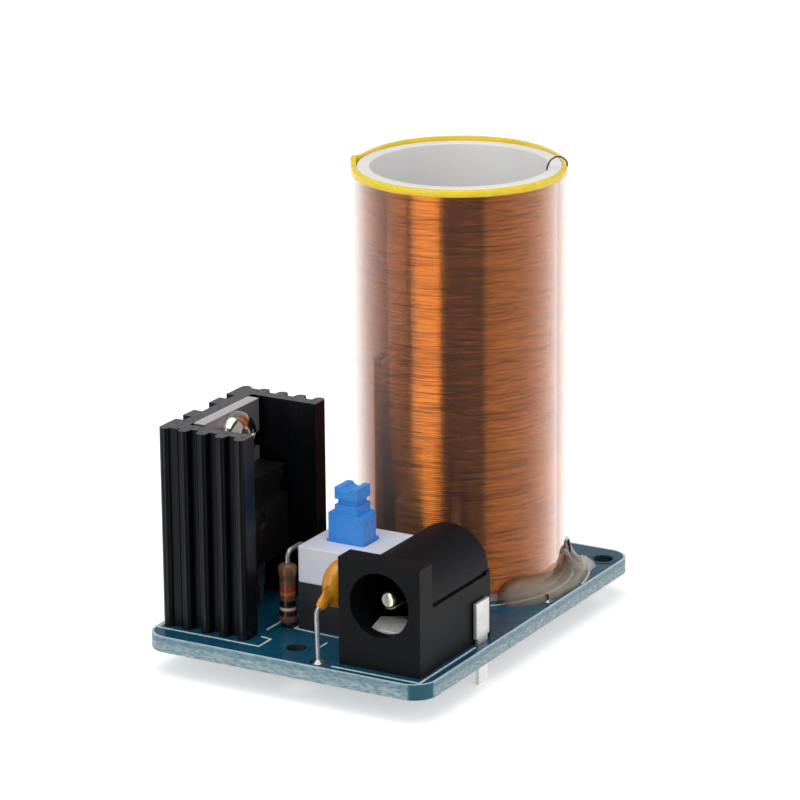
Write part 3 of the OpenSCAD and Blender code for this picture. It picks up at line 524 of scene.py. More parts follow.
def glue_finish():
    # Hot-melt glue: milky and half clear, with a wet skin
    glue = chosen("glue")
    material, tree, shader = worked("hot-melt glue", glue, shade(glue, 0.86), 2.2, 1.6, 0.03,
                                    0.12, 0.04, Transmission_Weight=0.2, Alpha=0.45,
                                    Subsurface_Weight=0.2, Subsurface_Scale=0.0012, IOR=1.45)
    # Where it thins out against the coil, the winding's brown showing through is painted into its
    # colour
    out = add(tree, "TexCoord", output="Object")
    for operation, value in (("SUBTRACT", (COIL[0] * MM, COIL[1] * MM, 0)),
                             ("MULTIPLY", (1, 1, 0))):
        out = add(tree, "VectorMath", {0: out, 1: value}, operation=operation)
    reach = add(tree, "VectorMath", {0: out}, "Value", operation="LENGTH")
    milky = comparing(tree, reach, (COIL_R + 1.2) * MM, 1.0 * MM)
    # Painted show-through of the winding next to the coil
    clear = add(tree, "Math", {0: 1.0, 1: milky}, operation="SUBTRACT")
    covered(tree, shader, (clear, linear("#8a4f1c")))
    return material


def heatsink_finish():
    # Extruded aluminium, anodised black: satin with die lines up its length, bare and
    # ragged grey where the saw cut it off.
    black = chosen("anodised")
    material, tree, shader = worked("black anodised aluminium", black, shade(black, 1.4), 3.0,
                                    0.16, 0.005, 0.32, 0.05, 0.4, (1, 1, 60))
    saw = layered(tree, linear("#6a6c72"),
                  (grain(tree, 0.22, (0.6, 5, 1)), linear("#3a3c41")))
    covered(tree, shader, (comparing(tree, facing_up(tree), 0.7, 0.1), saw))
    return material


def resistor_finish():
    # Carbon film resistor: glossy tan lacquer with painted bands round it
    low = span("resistor_body")[0][2]
    material, tree, shader = worked("resistor lacquer", linear("#735440"), linear("#5e4331"),
                                    1.5, 0.3, 0.006, 0.24, 0.05)
    height = height_of(tree)
    for bottom, top, code in ((3.4, 3.96, "#a23a1d"), (3.1, 3.4, "#b0672e"),
                              # The pale band from 1.5 to 1.78 is partly a band and partly a
                              # painted highlight where the lower cap narrows
                              (1.85, 2.5, "#14100e"), (1.5, 1.78, "#c2bab0"),
                              (0.95, 1.42, "#2e1a12")):
        band = between(tree, height, (low + bottom, 0.03), (low + top, 0.03))
        covered(tree, shader, (band, linear(code)))
    return material


def tin_finish():
    # Tinned steel and copper leads: soft bright grey metal
    return worked("tinned lead", linear("#d6d7d8"), linear("#bfc1c4"), 1.8, 0.5, 0.001, 0.36,
                  0.06, 0.9)[0]


def solder_finish():
    # Solder, flowed: wetter and brighter than the leads
    return worked("flowed solder", linear("#cfd0d0"), linear("#b2b4b6"), 1.0, 0.6, 0.004, 0.2,
                  0.05, 1.0)[0]


# ---- Board and printed outlines ----

def make_board():
    dressed("board", "circuit_board", board_finish(), "solder_mask", 0.08)
    # Copper rings under the mask: the mask's colour, a little lighter and standing up
    mask = chosen("mask")
    ring = worked("solder mask over copper", shade(mask, 1.35), shade(mask, 1.15), 1.0, 0.3,
                  0.003, 0.2)[0]
    dressed("hole_rings", "front_copper", ring, "solder_mask", 0.02, 1)
    # Etched copper, warm and slightly oxidised
    copper = worked("etched copper", linear("#c07a45"), linear("#8f4f2c"), 2.5, 0.4, 0.004,
                    0.34, 0.08, 1.0)[0]
    keep("primary_track", copper)


def make_outlines():
    """Printed lines: a flat stripe carried along each outline, a hair above the mask."""
    half, high, lift = sizes().line / MM / 2, 0.03, 0.002
    section = [(0, -half), (high, -half), (high, half), (0, half)]
    turn = np.linspace(0, 360, 180, endpoint=False)
    ring = swept(around(turn, 11.5, lift), section, (0, 0, 1), closed=True)
    strokes = [around(np.linspace(8, 47, 30), 13.15, lift)]
    for corners in ([(-15.55, -3.0), (-15.55, -19.95), (-3.86, -19.95), (-3.86, -17.7),
                     (-5.1, -17.45)],
                    [(-3.35, -5.4), (-3.35, -13.9), (1.4, -14.15), (5.3, -14.15)],
                    [(5.2, -21.32), (14.95, -21.32), (14.95, -10.2)],
                    [(-5.6, -15.6), (-5.6, -10.4), (-3.9, -10.4)],
                    [(1.55, -15.9), (1.55, -18.0)]):
        strokes.append(np.array([(x, y, TOP_Z + lift) for x, y in corners]))
    shapes = [shape(ring, wrap_rows=True)]
    shapes += [shape(swept(path, section, (0, 0, 1)), caps=True) for path in strokes]
    # Screen-printed epoxy ink: matt, slightly uneven white
    ink = chosen("ink")
    finish = worked("screen-printed ink", ink, shade(ink, 0.8), 0.5, 0.15, 0.004, 0.6)[0]
    put("printed_outlines", joined(shapes), finish, "solder_mask")


def make_solder():
    """Solder under the board from the CAD, and small flowed cones round the leads on top."""
    flowed = solder_finish()
    dressed("solder_cones", "solder_joints", flowed, "solder", 0.12, smooth=50)
    cone = [(0.01, 0), (0.01, 0.72), (0.07, 0.64), (0.15, 0.44), (0.27, 0.32), (0.36, 0)]
    feet = []
    for node, lead_r, front, back in (("capacitor_leads", CAP_LEAD_R, 1.15, 1.0),
                                      ("resistor_leads", 0.25, 0.9, 0.9)):
        low, high = span(node)
        middle = (low[0] + high[0]) / 2
        feet += [(middle, low[1] + lead_r, front), (middle, high[1] - lead_r, back)]
    low, high = span("bottom_wire_lead")
    feet += [(high[0] - 0.1, low[1] + 0.1, 0.8)]
    shapes = [shape(turned((x, y, TOP_Z), (0, 0, 1), np.array(cone) * size, 28))
              for x, y, size in feet]
    put("top_solder", joined(shapes), flowed, "solder", smooth=60)


# ---- Coil ----

def make_former():
    """Tube on its end: outside up, over a rim rounded on both edges, and down the bore."""
    inner = FORMER_R - FORMER_WALL
    bend = np.radians(np.linspace(0, 90, 5))
    r = 0.16
    top = RIM_Z - TOP_Z - r
    outer_edge = [(top + r * np.sin(b), FORMER_R - r + r * np.cos(b)) for b in bend]
    inner_edge = [(top + r * np.cos(b), inner + r - r * np.sin(b)) for b in bend]
    profile = [(0, inner), (0, FORMER_R), *outer_edge, *inner_edge]
    points = turned((COIL[0], COIL[1], TOP_Z), (0, 0, 1), profile, 128)
    # Extruded PVC tube: satin white, a little light gets through the wall
    white = chosen("former")
    finish = worked("extruded white PVC", white, shade(white, 0.94), 8.0, 0.5, 0.006, 0.42,
                    0.05, stretch=(1, 1, 6), Subsurface_Weight=0.12, Subsurface_Scale=0.0008)[0]
    put("coil_tube", shape(points, True), finish, "former_plastic", ["coil_former"])


def make_winding():
    """The winding's skin is one helix: four rows to a turn, the radius of each row following
    the round of the wire, and each column a step round that lifts the rows by its share of
    one turn. The first and last turns are cut off level, the last of them under the tape."""
    pitch, tucked = sizes().turn / MM, 0.5
    under_film, uneven = 0.195, 0.006
    low, high = span("secondary_winding")
    low, high = low[2], high[2] + tucked
    turns = int((high - low) / pitch)
    rows, columns = 4 * (turns + 1) + 1, 96
    row = np.arange(rows)[:, None]
    column = np.arange(columns)[None, :]
    angle = column / columns * 2 * np.pi
    free = low + (row / 4 + column / columns - 1) * pitch
    height = np.clip(free, low, high)
    bulge = np.array([0.0, 0.055, 0.075, 0.055])[row % 4] + 0 * angle
    rng = np.random.default_rng(7)
    ride_up = np.repeat(rng.normal(0, uneven, turns + 2), 4)[:rows, None]
    radius = COIL_R - under_film + bulge + np.clip(ride_up, -0.01, 0.01)
    radius = radius + uneven * ripple(angle, height, 11)
    radius = np.where((free < low) | (free > high), FORMER_R + 0.02, radius)
    points = on_coil(angle, radius, height)
    faces = grid_faces(rows, columns, wrap_columns=False)
    seam = np.arange(rows - 5)
    last, first = seam * columns + columns - 1, (seam + 4) * columns
    joint = np.stack([last, first, first + columns, last + columns], -1)
    faces = np.vstack([faces, joint]).tolist()
    put("fine_winding", (points.reshape(-1, 3), faces), winding_finish(), "enamelled_wire",
        ["secondary_winding"], smooth=180, weld=False)


def make_film():
    """Thin shell round the winding whose radius wavers a little round and up it, with its
    upper edge tucked under the tape."""
    tucked = 0.55
    low, high = FILM_LOW[2] + 0.05, FILM_HIGH[2] + tucked
    height = np.linspace(low, high, 90)[:, None]
    angle = np.linspace(0, 2 * np.pi, 200, endpoint=False)[None, :]
    waver = 0.007 * ripple(angle, height * 0.35, 3)
    outer, inner = (on_coil(angle, radius + waver, height)
                    for radius in (COIL_R - 0.012, COIL_R - 0.05))
    points = np.concatenate([outer, inner[::-1]])
    put("clear_film", shape(points, True), film_finish(), "clear_film", ["insulation_film"],
        smooth=60, weld=False)


def make_tape():
    """Tape band: a rounded box section carried round the rim, its edges cut unevenly, higher
    at the back, and its free end lifting off as a small flap at the left."""
    angle = np.linspace(0, 2 * np.pi, 240, endpoint=False)
    degrees = np.degrees(angle)
    lift = np.exp(-((degrees - 196) / 7) ** 2)
    back = np.exp(-((degrees - 120) / 62) ** 4)
    outer = COIL_R + 0.02 * ripple(angle, 0, 5) + 0.32 * lift
    low = span("top_tape")[0][2] + 0.38 + 0.06 * ripple(angle, 0, 9)
    top = RIM_Z - 0.04 + 0.03 * ripple(angle, 0, 21) + 0.4 * back + 0.3 * lift
    inner = FORMER_R + 0.02 + 0.16 * back + 0.3 * lift
    r = 0.06
    rows = np.stack([
        np.stack([low, inner], -1), np.stack([low, outer - r], -1),
        np.stack([low + r, outer], -1), np.stack([top - r, outer], -1),
        np.stack([top, outer - r], -1), np.stack([top, inner], -1)])
    points = on_coil(angle, rows[..., 1], rows[..., 0])
    # Polyester tape: thin glossy yellow plastic over glue, a little light gets through
    yellow = chosen("tape")
    finish = worked("yellow polyester tape", yellow, shade(yellow, 0.9), 2.5, 1.2, 0.006, 0.24,
                    0.06, Subsurface_Weight=0.1, Subsurface_Scale=0.0006)[0]
    put("rim_tape", shape(points, True), finish, "yellow_tape", ["top_tape"], smooth=50)


def make_wire_ends():
    """Round wire carried along a smooth curve for the hook over the rim; the run to its pad keeps
    its CAD shape and gets a finish.
    """
    # Enamel scraped off at the free end leaves dull brown copper
    scorched = worked("scraped wire end", linear("#5a3a28"), linear("#8a6a52"), 1.2, 0.3,
                      0.003, 0.34, 0.08, 0.8)[0]
    height = RIM_Z - TOP_Z
    inner = FORMER_R - FORMER_WALL - 0.12
    out = np.array([0, 0, 0.04, 0.34, 0.9, 1.5, 1.95, 2.04])
    up = np.array([-2.0, -1.0, 0.0, 0.76, 1.17, 1.14, 0.74, 0.26])
    path = around([16, 16, 16.5, 17, 17.5, 18, 18.5, 18.5], inner + out, height + up)
    put("hooked_wire", strand(path, 0.085, (-0.31, 0.95, 0.01), 6), scorched, "wire_end",
        ["top_wire_end"], smooth=60)
    keep("bottom_wire_lead", worked("enamelled lead-out", linear("#8a4a20"), linear("#5c2c12"),
                                    1.0, 0.2, 0.005, 0.3, 0.05, 0.7)[0])


def make_glue():
    """Bead along the coil's foot: a quarter-round section whose width and height swell and
    fade with the angle, plus drawn-out strings at its right end."""
    degrees = np.linspace(-42, 31, 90)
    angle = np.radians(degrees)
    ends = np.clip(1 - np.abs((degrees + 5.5) / 36.5) ** 9, 0, 1) ** 0.5
    lump = 1 + 0.12 * ripple(angle * 3, 0, 31)
    width = 2.25 * ends * lump
    high = (2.05 + 0.5 * np.exp(-((degrees + 32) / 9) ** 2)) * ends * lump
    inner = COIL_R - 0.03
    bend = np.radians(np.linspace(0, 90, 12))[:, None]
    section_r = inner + width * np.cos(bend) ** 0.75
    section_z = high * np.sin(bend) ** 0.85
    r = np.vstack([inner + 0 * width, section_r, inner + 0 * width])
    z = np.vstack([0 * width, section_z, high * 0.5])
    r = np.minimum(r, BOARD_HIGH[0] - 0.1 - COIL[0])
    points = np.swapaxes(around(degrees[None, :], r, z), 0, 1)[:, ::-1]
    put("glue_bead_poured", shape(points, caps=True), glue_finish(), "glue", ["glue_bead"],
        smooth=80)
    # The same glue pulled thin is almost clear
    thin = worked("drawn-out glue", linear("#f4f6f4"), linear("#dfe4e3"), 0.8, 0.4, 0.03, 0.1,
                  0.04, Alpha=0.4, IOR=1.45)[0]
    strings = []
    for start, end, climb, thick in (
            (24, 33, 3.6, 0.26), (29, 38, 3.0, 0.2), (18, 27, 2.6, 0.32), (34, 42, 2.1, 0.18),
            (27, 31, 3.2, 0.16)):
        t = np.linspace(0, 1, 7)
        run = around(start + (end - start) * t, COIL_R + 0.08 + 2.3 * t ** 1.6,
                     0.12 + climb * (1 - t) ** 1.5)
        strings.append(strand(run, thick, (0.7, 0.7, 0.4), 5, scale=np.linspace(0.7, 1.5, 31)))
    blob = turned(around(33, COIL_R + 1.5, -0.02), (0, 0, 1),
                  [(0, 0), (0, 1.55), (0.22, 1.5), (0.62, 1.1), (0.9, 0.55), (1.0, 0)], 32)
    strings.append(shape(blob))
    put("glue_strings", joined(strings), thin, "glue", smooth=80)
    # Broken ends of wire caught in the glue
    stubs = []
    for at, lean in ((21, 3), (24.5, -4)):
        run = around([at, at + lean * 0.5, at + lean], COIL_R + np.array([0.15, 0.35, 0.2]),
                     np.array([1.6, 2.6, 3.5]))
        stubs.append(strand(run, 0.12, (1, 0, 0), 6, 8))
    put("caught_wire", joined(stubs), worked(
        "enamelled offcut", linear("#6b2413"), linear("#3c140b"), 1.0, 0.2, 0.005, 0.3, 0.05,
        0.6)[0], "enamelled_wire", smooth=60)


# ---- Heatsink and transistor ----

def make_heatsink():
    dressed("heatsink_extrusion", "heatsink", heatsink_finish(), "black_anodised", 0.09)
    dressed("heatsink_solder_pins", "heatsink_pins", tin_finish(), "tinned_metal", 0.08)


def make_transistor():
    """Tab, body and leads rounded from the CAD, and a screw turned from a profile."""
    # Tinned copper tab: soft mauve-grey metal, with a painted highlight: its upward faces painted
    # near white
    tab, tree, shader = worked("tinned copper tab", linear("#b3aaae"), linear("#a49b9f"), 3.5, 0.5,
                               0.0015, 0.4, 0.05, 0.75)
    # Painted highlight on the tab's upper edge
    covered(tree, shader, (comparing(tree, facing_up(tree), 0.6, 0.15), linear("#f4f2f0")))
    # Moulded epoxy: very fine matt grain with a slight gloss
    epoxy = worked("moulded black epoxy", linear("#0f0f12"), linear("#151518"), 2.0, 0.12,
                   0.003, 0.34)[0]
    dressed("transistor_tab_plate", "transistor_tab", tab, "tinned_metal", 0.08)
    dressed("transistor_case", "transistor_body", epoxy, "black_epoxy", 0.14)
    dressed("transistor_pins", "transistor_leads", tin_finish(), "tinned_metal", 0.04, 1)
    low, high = span("transistor_screw")
    shank_r, head_high, edge_high = 1.5, 2.0, 0.35
    head_r = (high[2] - low[2]) / 2 + 0.2
    centre = np.array([low[0], (low[1] + high[1]) / 2, (low[2] + high[2]) / 2])
    head_x = high[0] - low[0] - head_high
    dome = [(head_x + edge_high + (head_high - edge_high) * np.sin(b),
             head_r * np.cos(b) ** 0.8) for b in np.radians(np.linspace(8, 90, 20))]
    profile = [(0, 0), (0, shank_r - 0.1), (0.1, shank_r), (head_x, shank_r),
               (head_x, head_r - 0.05), *dome]
    points = turned(centre, (1, 0, 0), profile, 96)
    # Cross recess, turned 30 degrees: where either arm of the cross covers the head, its
    # face sinks. An arm is 0.6 mm wide and 2.5 mm long, with soft walls.
    u, v = points[..., 1] - centre[1], points[..., 2] - centre[2]
    u, v = u * 0.86 + v * 0.5, v * 0.86 - u * 0.5
    one, other = (1 / (1 + np.exp((np.abs(across) - 0.3) * 22))
                  / (1 + np.exp((np.abs(along) - 1.25) * 12))
                  for across, along in ((u, v), (v, u)))
    on_dome = points[..., 0] > centre[0] + head_x + 0.7
    points[..., 0] -= 0.85 * (np.maximum(one, other) * on_dome)
    # Nickel-plated steel: near mirror, faintly warm
    plated = worked("nickel-plated steel", linear("#dad7cf"), linear("#cbc6bb"), 1.5, 0.5,
                    0.002, 0.15, 0.03, 1.0)[0]
    put("domed_screw", shape(points), plated, "screw_steel", ["transistor_screw"], smooth=50)


# ---- Jack ----

def make_jack():
    dark = chosen("jack")
    # Moulded PBT: matt near-black with a spark-eroded grain
    housing = worked("moulded black PBT", dark, shade(dark, 1.2), 4.0, 0.14, 0.006, 0.58,
                     0.05, Specular_IOR_Level=0.2)[0]
    dressed("jack_shell", "jack_housing", housing, "black_plastic", sizes().edge / MM, 3)
    # Nickel-plated brass: bright and warm
    bright = worked("nickel-plated brass", linear("#e2dfd6"), linear("#cfcabb"), 1.2, 0.5,
                    0.002, 0.18, 0.04, 1.0)[0]
    low, high = span("jack_centre_pin")
    middle = (low + high) / 2
    root, length = high[0] - middle[0], high[1] - low[1]
    collar, pin_r = 4.2, 1.0
    tip = [(0.55 - 0.55 * np.cos(b), 0.45 + 0.55 * np.sin(b))
           for b in np.radians(np.linspace(15, 90, 6))]
    pin = turned((middle[0], low[1], middle[2]), (0, 1, 0),
                 [(0, 0), (0, 0.42), *tip, (length - collar - 0.1, pin_r),
                  (length - collar, root), (length, root), (length, 0)], 48)
    put("jack_pin", shape(pin), bright, "tinned_metal", ["jack_centre_pin"], smooth=50)
    # Silver-washed spring bronze: pale, soft and bright
    washed = worked("silver-washed spring bronze", linear("#fbfaf7"), linear("#e6e4de"), 0.8,
                    0.4, 0.002, 0.42, 0.05, 0.25)[0]
    dressed("jack_spring_leaf", "jack_spring_contact", washed, "spring_steel", 0.05,
            body="spring_contact")
    # Stamped and tinned side contact: flat, bright, with a soft sheen
    stamped = worked("stamped tinned brass", linear("#f0efec"), linear("#deddda"), 2.0, 0.5,
                     0.002, 0.4, 0.05, 0.6)[0]
    dressed("jack_side_blade", "jack_side_contact", stamped, "tinned_metal", 0.06)
    for node in ("jack_pin_terminal", "jack_spring_terminal"):
        keep(node, stamped)


# ---- Switch ----

def make_switch():
    cover, blue = chosen("cover"), chosen("button")
    edge = sizes().edge / MM
    base = worked("moulded black nylon", linear("#16171b"), linear("#202126"), 2.5, 0.2, 0.01,
                  0.42)[0]
    # Moulded ABS: smooth satin, faint flow marks
    white = worked("moulded white ABS", cover, shade(cover, 0.96), 3.5, 0.5, 0.002, 0.36,
                   0.05, Subsurface_Weight=0.06, Subsurface_Scale=0.0005)[0]
    bright = worked("moulded blue ABS", blue, shade(blue, 0.95), 2.5, 0.6, 0.0008, 0.3,
                    0.03)[0]
    dressed("switch_base_moulding", "switch_base", base, "black_plastic", edge * 0.5)
    dressed("switch_cover_moulding", "switch_cover", white, "white_plastic", edge, 3)
    dressed("switch_button_cap", "switch_button", bright, "blue_plastic", edge * 0.6,
            body="button")
    # Inside the switch: music-wire spring and pin, brass contacts
    spring = worked("spring wire", linear("#aeb1b5"), linear("#8c8f93"), 0.8, 0.2, 0.005, 0.25,
                    0.06, 1.0)[0]
    brass = worked("silvered brass", linear("#d6c59a"), linear("#b7a36f"), 0.8, 0.2, 0.005,
                   0.3, 0.06, 1.0)[0]
    keep("switch_spring", spring)
    keep("switch_latch_pin", spring)
    keep("switch_moving_contacts", brass)
    keep("switch_terminals", tin_finish())


# ---- Resistor and capacitor ----

def make_resistor():
    """Body turned from a profile: a swollen cap at each end and a straight waist between."""
    low, high = span("resistor_end_caps")
    x, y = (low[:2] + high[:2]) / 2
    length, r = high[2] - low[2], (high[0] - low[0]) / 2
    waist = r - 0.14
    half = [(0.0, 0.0), (0.0, 0.32), (0.06, 0.55), (0.22, r - 0.12), (0.5, r), (1.0, r - 0.01),
            (1.3, waist + 0.05), (1.6, waist)]
    profile = half + [(length - h, q) for h, q in half[::-1]]
    points = turned((x, y, low[2]), (0, 0, 1), profile, 48)
    put("banded_resistor", shape(points), resistor_finish(), "resistor_coat",
        ["resistor_body", "resistor_end_caps"], smooth=70)
    dressed("resistor_wires", "resistor_leads", tin_finish(), "tinned_metal", smooth=50)


def make_capacitor():
    """Dipped disc: rings about its middle whose radius has a lobe running down to each lead,
    and whose thickness falls from the middle to the rim like a lens, thicker in the lobes.
    Its wires stand up from the board and bend over into the lobes."""
    low, high = span("capacitor_body")
    foot_low, foot_high = span("capacitor_leads")
    thick = (high[0] - low[0]) / 2
    x = (low[0] + high[0]) / 2
    y0, z0 = high[1] - DISC_R, high[2] - DISC_R
    feet = foot_low[1] + CAP_LEAD_R, foot_high[1] - CAP_LEAD_R
    angle = np.linspace(0, 2 * np.pi, 120, endpoint=False)[None, :]
    out = np.linspace(0, 1, 26)[:, None]
    lobes, stretch = [], 0
    for at, drop, width in ((196, 2.0, 280), (290, 0.75, 200)):
        lobes.append(np.exp(-((np.degrees(angle) - at + 180) % 360 - 180) ** 2 / width))
        stretch = stretch + drop * lobes[-1]
    lobe = np.maximum(*lobes)
    reach = out * (DISC_R + stretch)
    disc = thick * np.sqrt(np.clip(1 - (reach / DISC_R) ** 2.3, 0, 1)) ** 0.9
    drip = 0.5 * lobe * np.sqrt(np.clip(1 - out ** 6, 0, 1)) * (out > 0.3)
    half = np.maximum(disc, drip)
    half[-1] = 0
    y, z = y0 + reach * np.cos(angle), z0 + reach * np.sin(angle)
    front = np.stack([x - half, y, z], -1)
    back = np.stack([x + half, y, z], -1)
    points = np.concatenate([front, back[::-1][1:]])
    # Dipped epoxy: thick glossy orange-yellow with a wet look
    dip = chosen("capacitor")
    coat = worked("dipped epoxy", dip, shade(dip, 0.86), 2.4, 1.1, 0.015, 0.14, 0.04,
                  Coat_Weight=0.5, Coat_Roughness=0.06)[0]
    put("dipped_capacitor", shape(points), coat, "capacitor_coat", ["capacitor_body"],
        smooth=80)
    wires = []
    for foot, bends in zip(feet, (
            ((-0.12, -2.8), (-0.15, -1.9), (0.02, -1.4), (0.6, -1.05), (1.8, -0.75)),
            ((0.05, -4.6), (0.15, -3.7), (0.2, -3.1), (0.05, -2.5), (-0.3, -1.8)))):
        path = [(x, foot, foot_low[2]), (x, foot, TOP_Z - 0.4), (x, foot, TOP_Z + 0.8)]
        path += [(x, foot + shift, z0 + climb) for shift, climb in bends]
        wires.append(strand(path, 0.25, (1, 0, 0), 8, 16))
    put("capacitor_wires", joined(wires), tin_finish(), "tinned_metal", ["capacitor_leads"],
        smooth=60)


# ---- Stage ----

def compass(turn, lift=0.0):
    """Unit vector from the object: turn degrees to the camera's right of the camera."""
    a, e = math.radians(CAMERA_TURN + turn), math.radians(lift)
    return Vector((math.sin(a) * math.cos(e), -math.cos(a) * math.cos(e), math.sin(e)))


def panel(name, turn, lift, distance, width, height, level):
    """A soft flat lamp that faces the object. Its power is its level times its area times pi."""
    light = bpy.data.lights.new(name, "AREA")
    light.shape = "RECTANGLE"
    light.size, light.size_y = width, height
    light.energy = level * math.pi * width * height
    lamp = bpy.data.objects.new(name, light)
    bpy.context.scene.collection.objects.link(lamp)
    out = compass(turn, lift)
    target = Vector((0, 0, 0.024))
    lamp.location = target + out * distance
    lamp.rotation_euler = out.to_track_quat("Z", "Y").to_euler()


def make_camera():
    a, e, r = (math.radians(v) for v in (CAMERA_TURN, CAMERA_DROP, CAMERA_ROLL))
    ahead = Vector((-math.sin(a) * math.cos(e), math.cos(a) * math.cos(e), -math.sin(e)))
    right = Vector((math.cos(a), math.sin(a), 0))
    up = right.cross(ahead)
    side = right * math.cos(r) + up * math.sin(r)
    top = up * math.cos(r) - right * math.sin(r)
    camera = bpy.data.objects.new("camera", bpy.data.cameras.new("camera"))
    camera.data.lens = CAMERA_LENS
    camera.data.sensor_width = 36
    camera.data.clip_start = 0.01
    bpy.context.scene.collection.objects.link(camera)
    turn = Matrix((side, top, -ahead)).transposed().to_4x4()
    camera.matrix_world = Matrix.Translation(CAMERA_AT) @ turn
    bpy.context.scene.camera = camera


def make_floor():
    bpy.ops.mesh.primitive_plane_add(size=4, location=(0, 0, -0.00002))
    floor = bpy.context.object
    floor.name = "floor"
    material, tree, shader = blank("matt white paper", (0.86, 0.86, 0.86, 1), 0.9)
    seen = add(tree, "LightPath", output="Is Camera Ray")
    fill(tree, shader, {
        "Emission Color": (1, 1, 1, 1),
        "Emission Strength": add(tree, "Math", {0: seen, 1: 0.5}, operation="MULTIPLY")})
    floor.data.materials.append(material)
    floor.visible_glossy = False


def make_room(level):
    """Room light: white to the camera, an even grey to matt surfaces, and to mirrors a room
    that is dark behind the camera and white behind the object."""
    world = bpy.data.worlds.new("studio")
    world.use_nodes = True
    tree = world.node_tree
    tree.nodes.clear()
    seen, glossy, through = (add(tree, "LightPath", output="Is %s Ray" % kind)
                             for kind in ("Camera", "Glossy", "Transmission"))
    ray = add(tree, "TexCoord", output="Generated")
    behind = add(tree, "VectorMath", {0: ray, 1: compass(180)}, "Value",
                 operation="DOT_PRODUCT")
    rear = add(tree, "MapRange", {"Value": behind, "From Min": -0.25, "From Max": 0.75,
                                  "To Min": 0.1, "To Max": 1.25})
    # Above the horizon it is darker again, so the level board keeps its own colour
    dimmer = add(tree, "MapRange", {
        "Value": add(tree, "SeparateXYZ", {0: ray}, "Z"), "From Min": 0.02, "From Max": 0.25,
        "To Min": 1.0, "To Max": 0.25})
    mirrored = add(tree, "Math", {0: rear, 1: dimmer}, operation="MULTIPLY")
    mirror, even, white = (
        add(tree, "Background", {"Color": (1, 1, 1, 1), "Strength": strength})
        for strength in (mirrored, level, 1.0))
    shiny = add(tree, "Math", {0: glossy, 1: through}, operation="MAXIMUM")
    lit = add(tree, "MixShader", {0: shiny, 1: even, 2: mirror})
    both = add(tree, "MixShader", {0: seen, 1: lit, 2: white})
    fill(tree, tree.nodes.new("ShaderNodeOutputWorld"), {0: both})
    bpy.context.scene.world = world


def make_stage():
    light = bpy.context.scene.transformer_light
    make_camera()
    make_floor()
    make_room(light.room)
    # Degrees to the camera's right and up, metres away, wide and high, then the level
    panel("strip_lamp", -38, 0, 0.5, 0.287, 1.1, light.strip)
    panel("left_panel", -72, 0, 0.55, 0.24, 1.1, light.strip * 0.36)
    panel("right_panel", 76, 0, 0.5, 1.2, 1.1, light.side)
    panel("top_panel", -20, 80, 0.6, 0.6, 0.6, light.top)
    bpy.context.scene.view_settings.view_transform = "Standard"


# ---- Operators, panel and registration ----

class MakeStage(bpy.types.Operator):
    """Makes the camera, the floor, the lamps and the room"""
    bl_idname = "transformer.stage"
    bl_label = "Stage"

    def execute(self, context):
        make_stage()
        return {"FINISHED"}


class MakeBoard(bpy.types.Operator):
    """Makes the circuit board with its printed outlines and solder"""
    bl_idname = "transformer.board"
    bl_label = "Board"

    def execute(self, context):
        make_board()
        make_outlines()
        make_solder()
        return {"FINISHED"}


class MakeCoil(bpy.types.Operator):
    """Makes the tube, its winding, the clear film, the tape and the wire's ends"""
    bl_idname = "transformer.coil"
    bl_label = "Coil"

    def execute(self, context):
        make_former()
        make_winding()
        make_film()
        make_tape()
        make_wire_ends()
        return {"FINISHED"}


class MakeGlue(bpy.types.Operator):
    """Makes the glue at the coil's foot"""
    bl_idname = "transformer.glue"
    bl_label = "Glue"

    def execute(self, context):
        make_glue()
        return {"FINISHED"}


class MakeHeatsink(bpy.types.Operator):
    """Makes the heatsink and its solder pins"""
    bl_idname = "transformer.heatsink"
    bl_label = "Heatsink"

    def execute(self, context):
        make_heatsink()
        return {"FINISHED"}


class MakeTransistor(bpy.types.Operator):
    """Makes the transistor and its screw"""
    bl_idname = "transformer.transistor"
    bl_label = "Transistor"

    def execute(self, context):
        make_transistor()
        return {"FINISHED"}


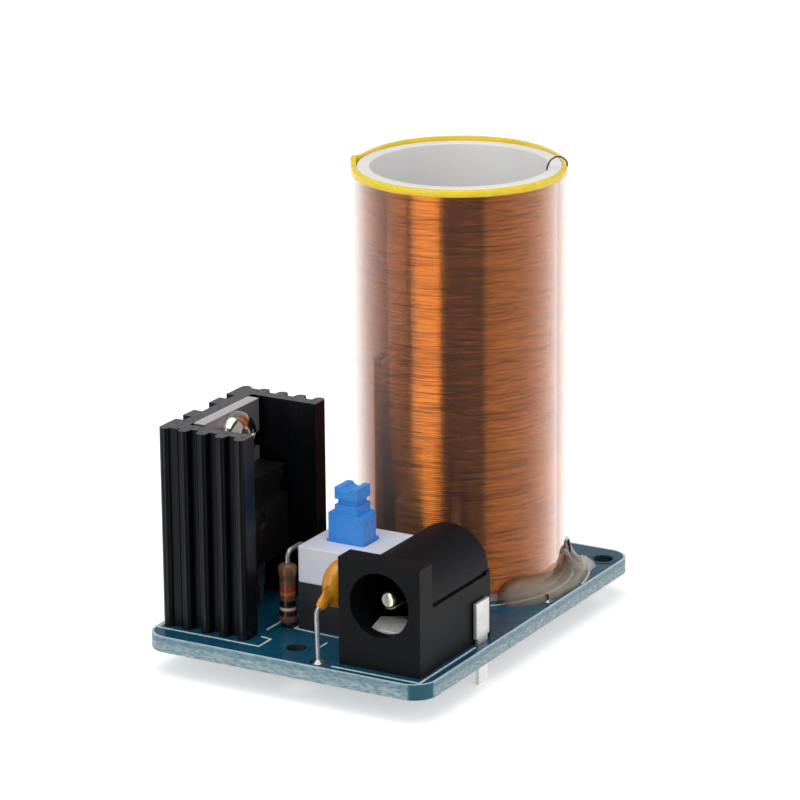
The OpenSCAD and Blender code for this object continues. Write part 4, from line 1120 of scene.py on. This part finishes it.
class MakeJack(bpy.types.Operator):
    """Makes the jack with its pin and contacts"""
    bl_idname = "transformer.jack"
    bl_label = "Jack"

    def execute(self, context):
        make_jack()
        return {"FINISHED"}


class MakeSwitch(bpy.types.Operator):
    """Makes the push switch"""
    bl_idname = "transformer.switch"
    bl_label = "Switch"

    def execute(self, context):
        make_switch()
        return {"FINISHED"}


class MakeResistor(bpy.types.Operator):
    """Makes the banded resistor"""
    bl_idname = "transformer.resistor"
    bl_label = "Resistor"

    def execute(self, context):
        make_resistor()
        return {"FINISHED"}


class MakeCapacitor(bpy.types.Operator):
    """Makes the dipped capacitor"""
    bl_idname = "transformer.capacitor"
    bl_label = "Capacitor"

    def execute(self, context):
        make_capacitor()
        return {"FINISHED"}


OPERATORS = (MakeStage, MakeBoard, MakeCoil, MakeGlue, MakeHeatsink, MakeTransistor, MakeJack,
             MakeSwitch, MakeResistor, MakeCapacitor)
SETTINGS = {"transformer_colours": TransformerColours, "transformer_sizes": TransformerSizes,
            "transformer_light": TransformerLight}


class TransformerPanel(bpy.types.Panel):
    """Lists the settings and the operators"""
    bl_idname = "VIEW3D_PT_transformer"
    bl_label = "Resonant transformer"
    bl_space_type = "VIEW_3D"
    bl_region_type = "UI"
    bl_category = "Transformer"

    def draw(self, context):
        for name, group in SETTINGS.items():
            box = self.layout.box()
            for setting in group.__annotations__:
                box.prop(getattr(context.scene, name), setting)
        for operator in OPERATORS:
            self.layout.operator(operator.bl_idname)


def register():
    for group in (*SETTINGS.values(), *OPERATORS, TransformerPanel):
        bpy.utils.register_class(group)
    for name, group in SETTINGS.items():
        setattr(bpy.types.Scene, name, bpy.props.PointerProperty(type=group))


def unregister():
    for name in SETTINGS:
        delattr(bpy.types.Scene, name)
    for group in (TransformerPanel, *OPERATORS[::-1], *list(SETTINGS.values())[::-1]):
        bpy.utils.unregister_class(group)


def main():
    register()
    for operator in OPERATORS:
        category, name = operator.bl_idname.split(".")
        getattr(getattr(bpy.ops, category), name)()


if __name__ == "__main__":
    main()
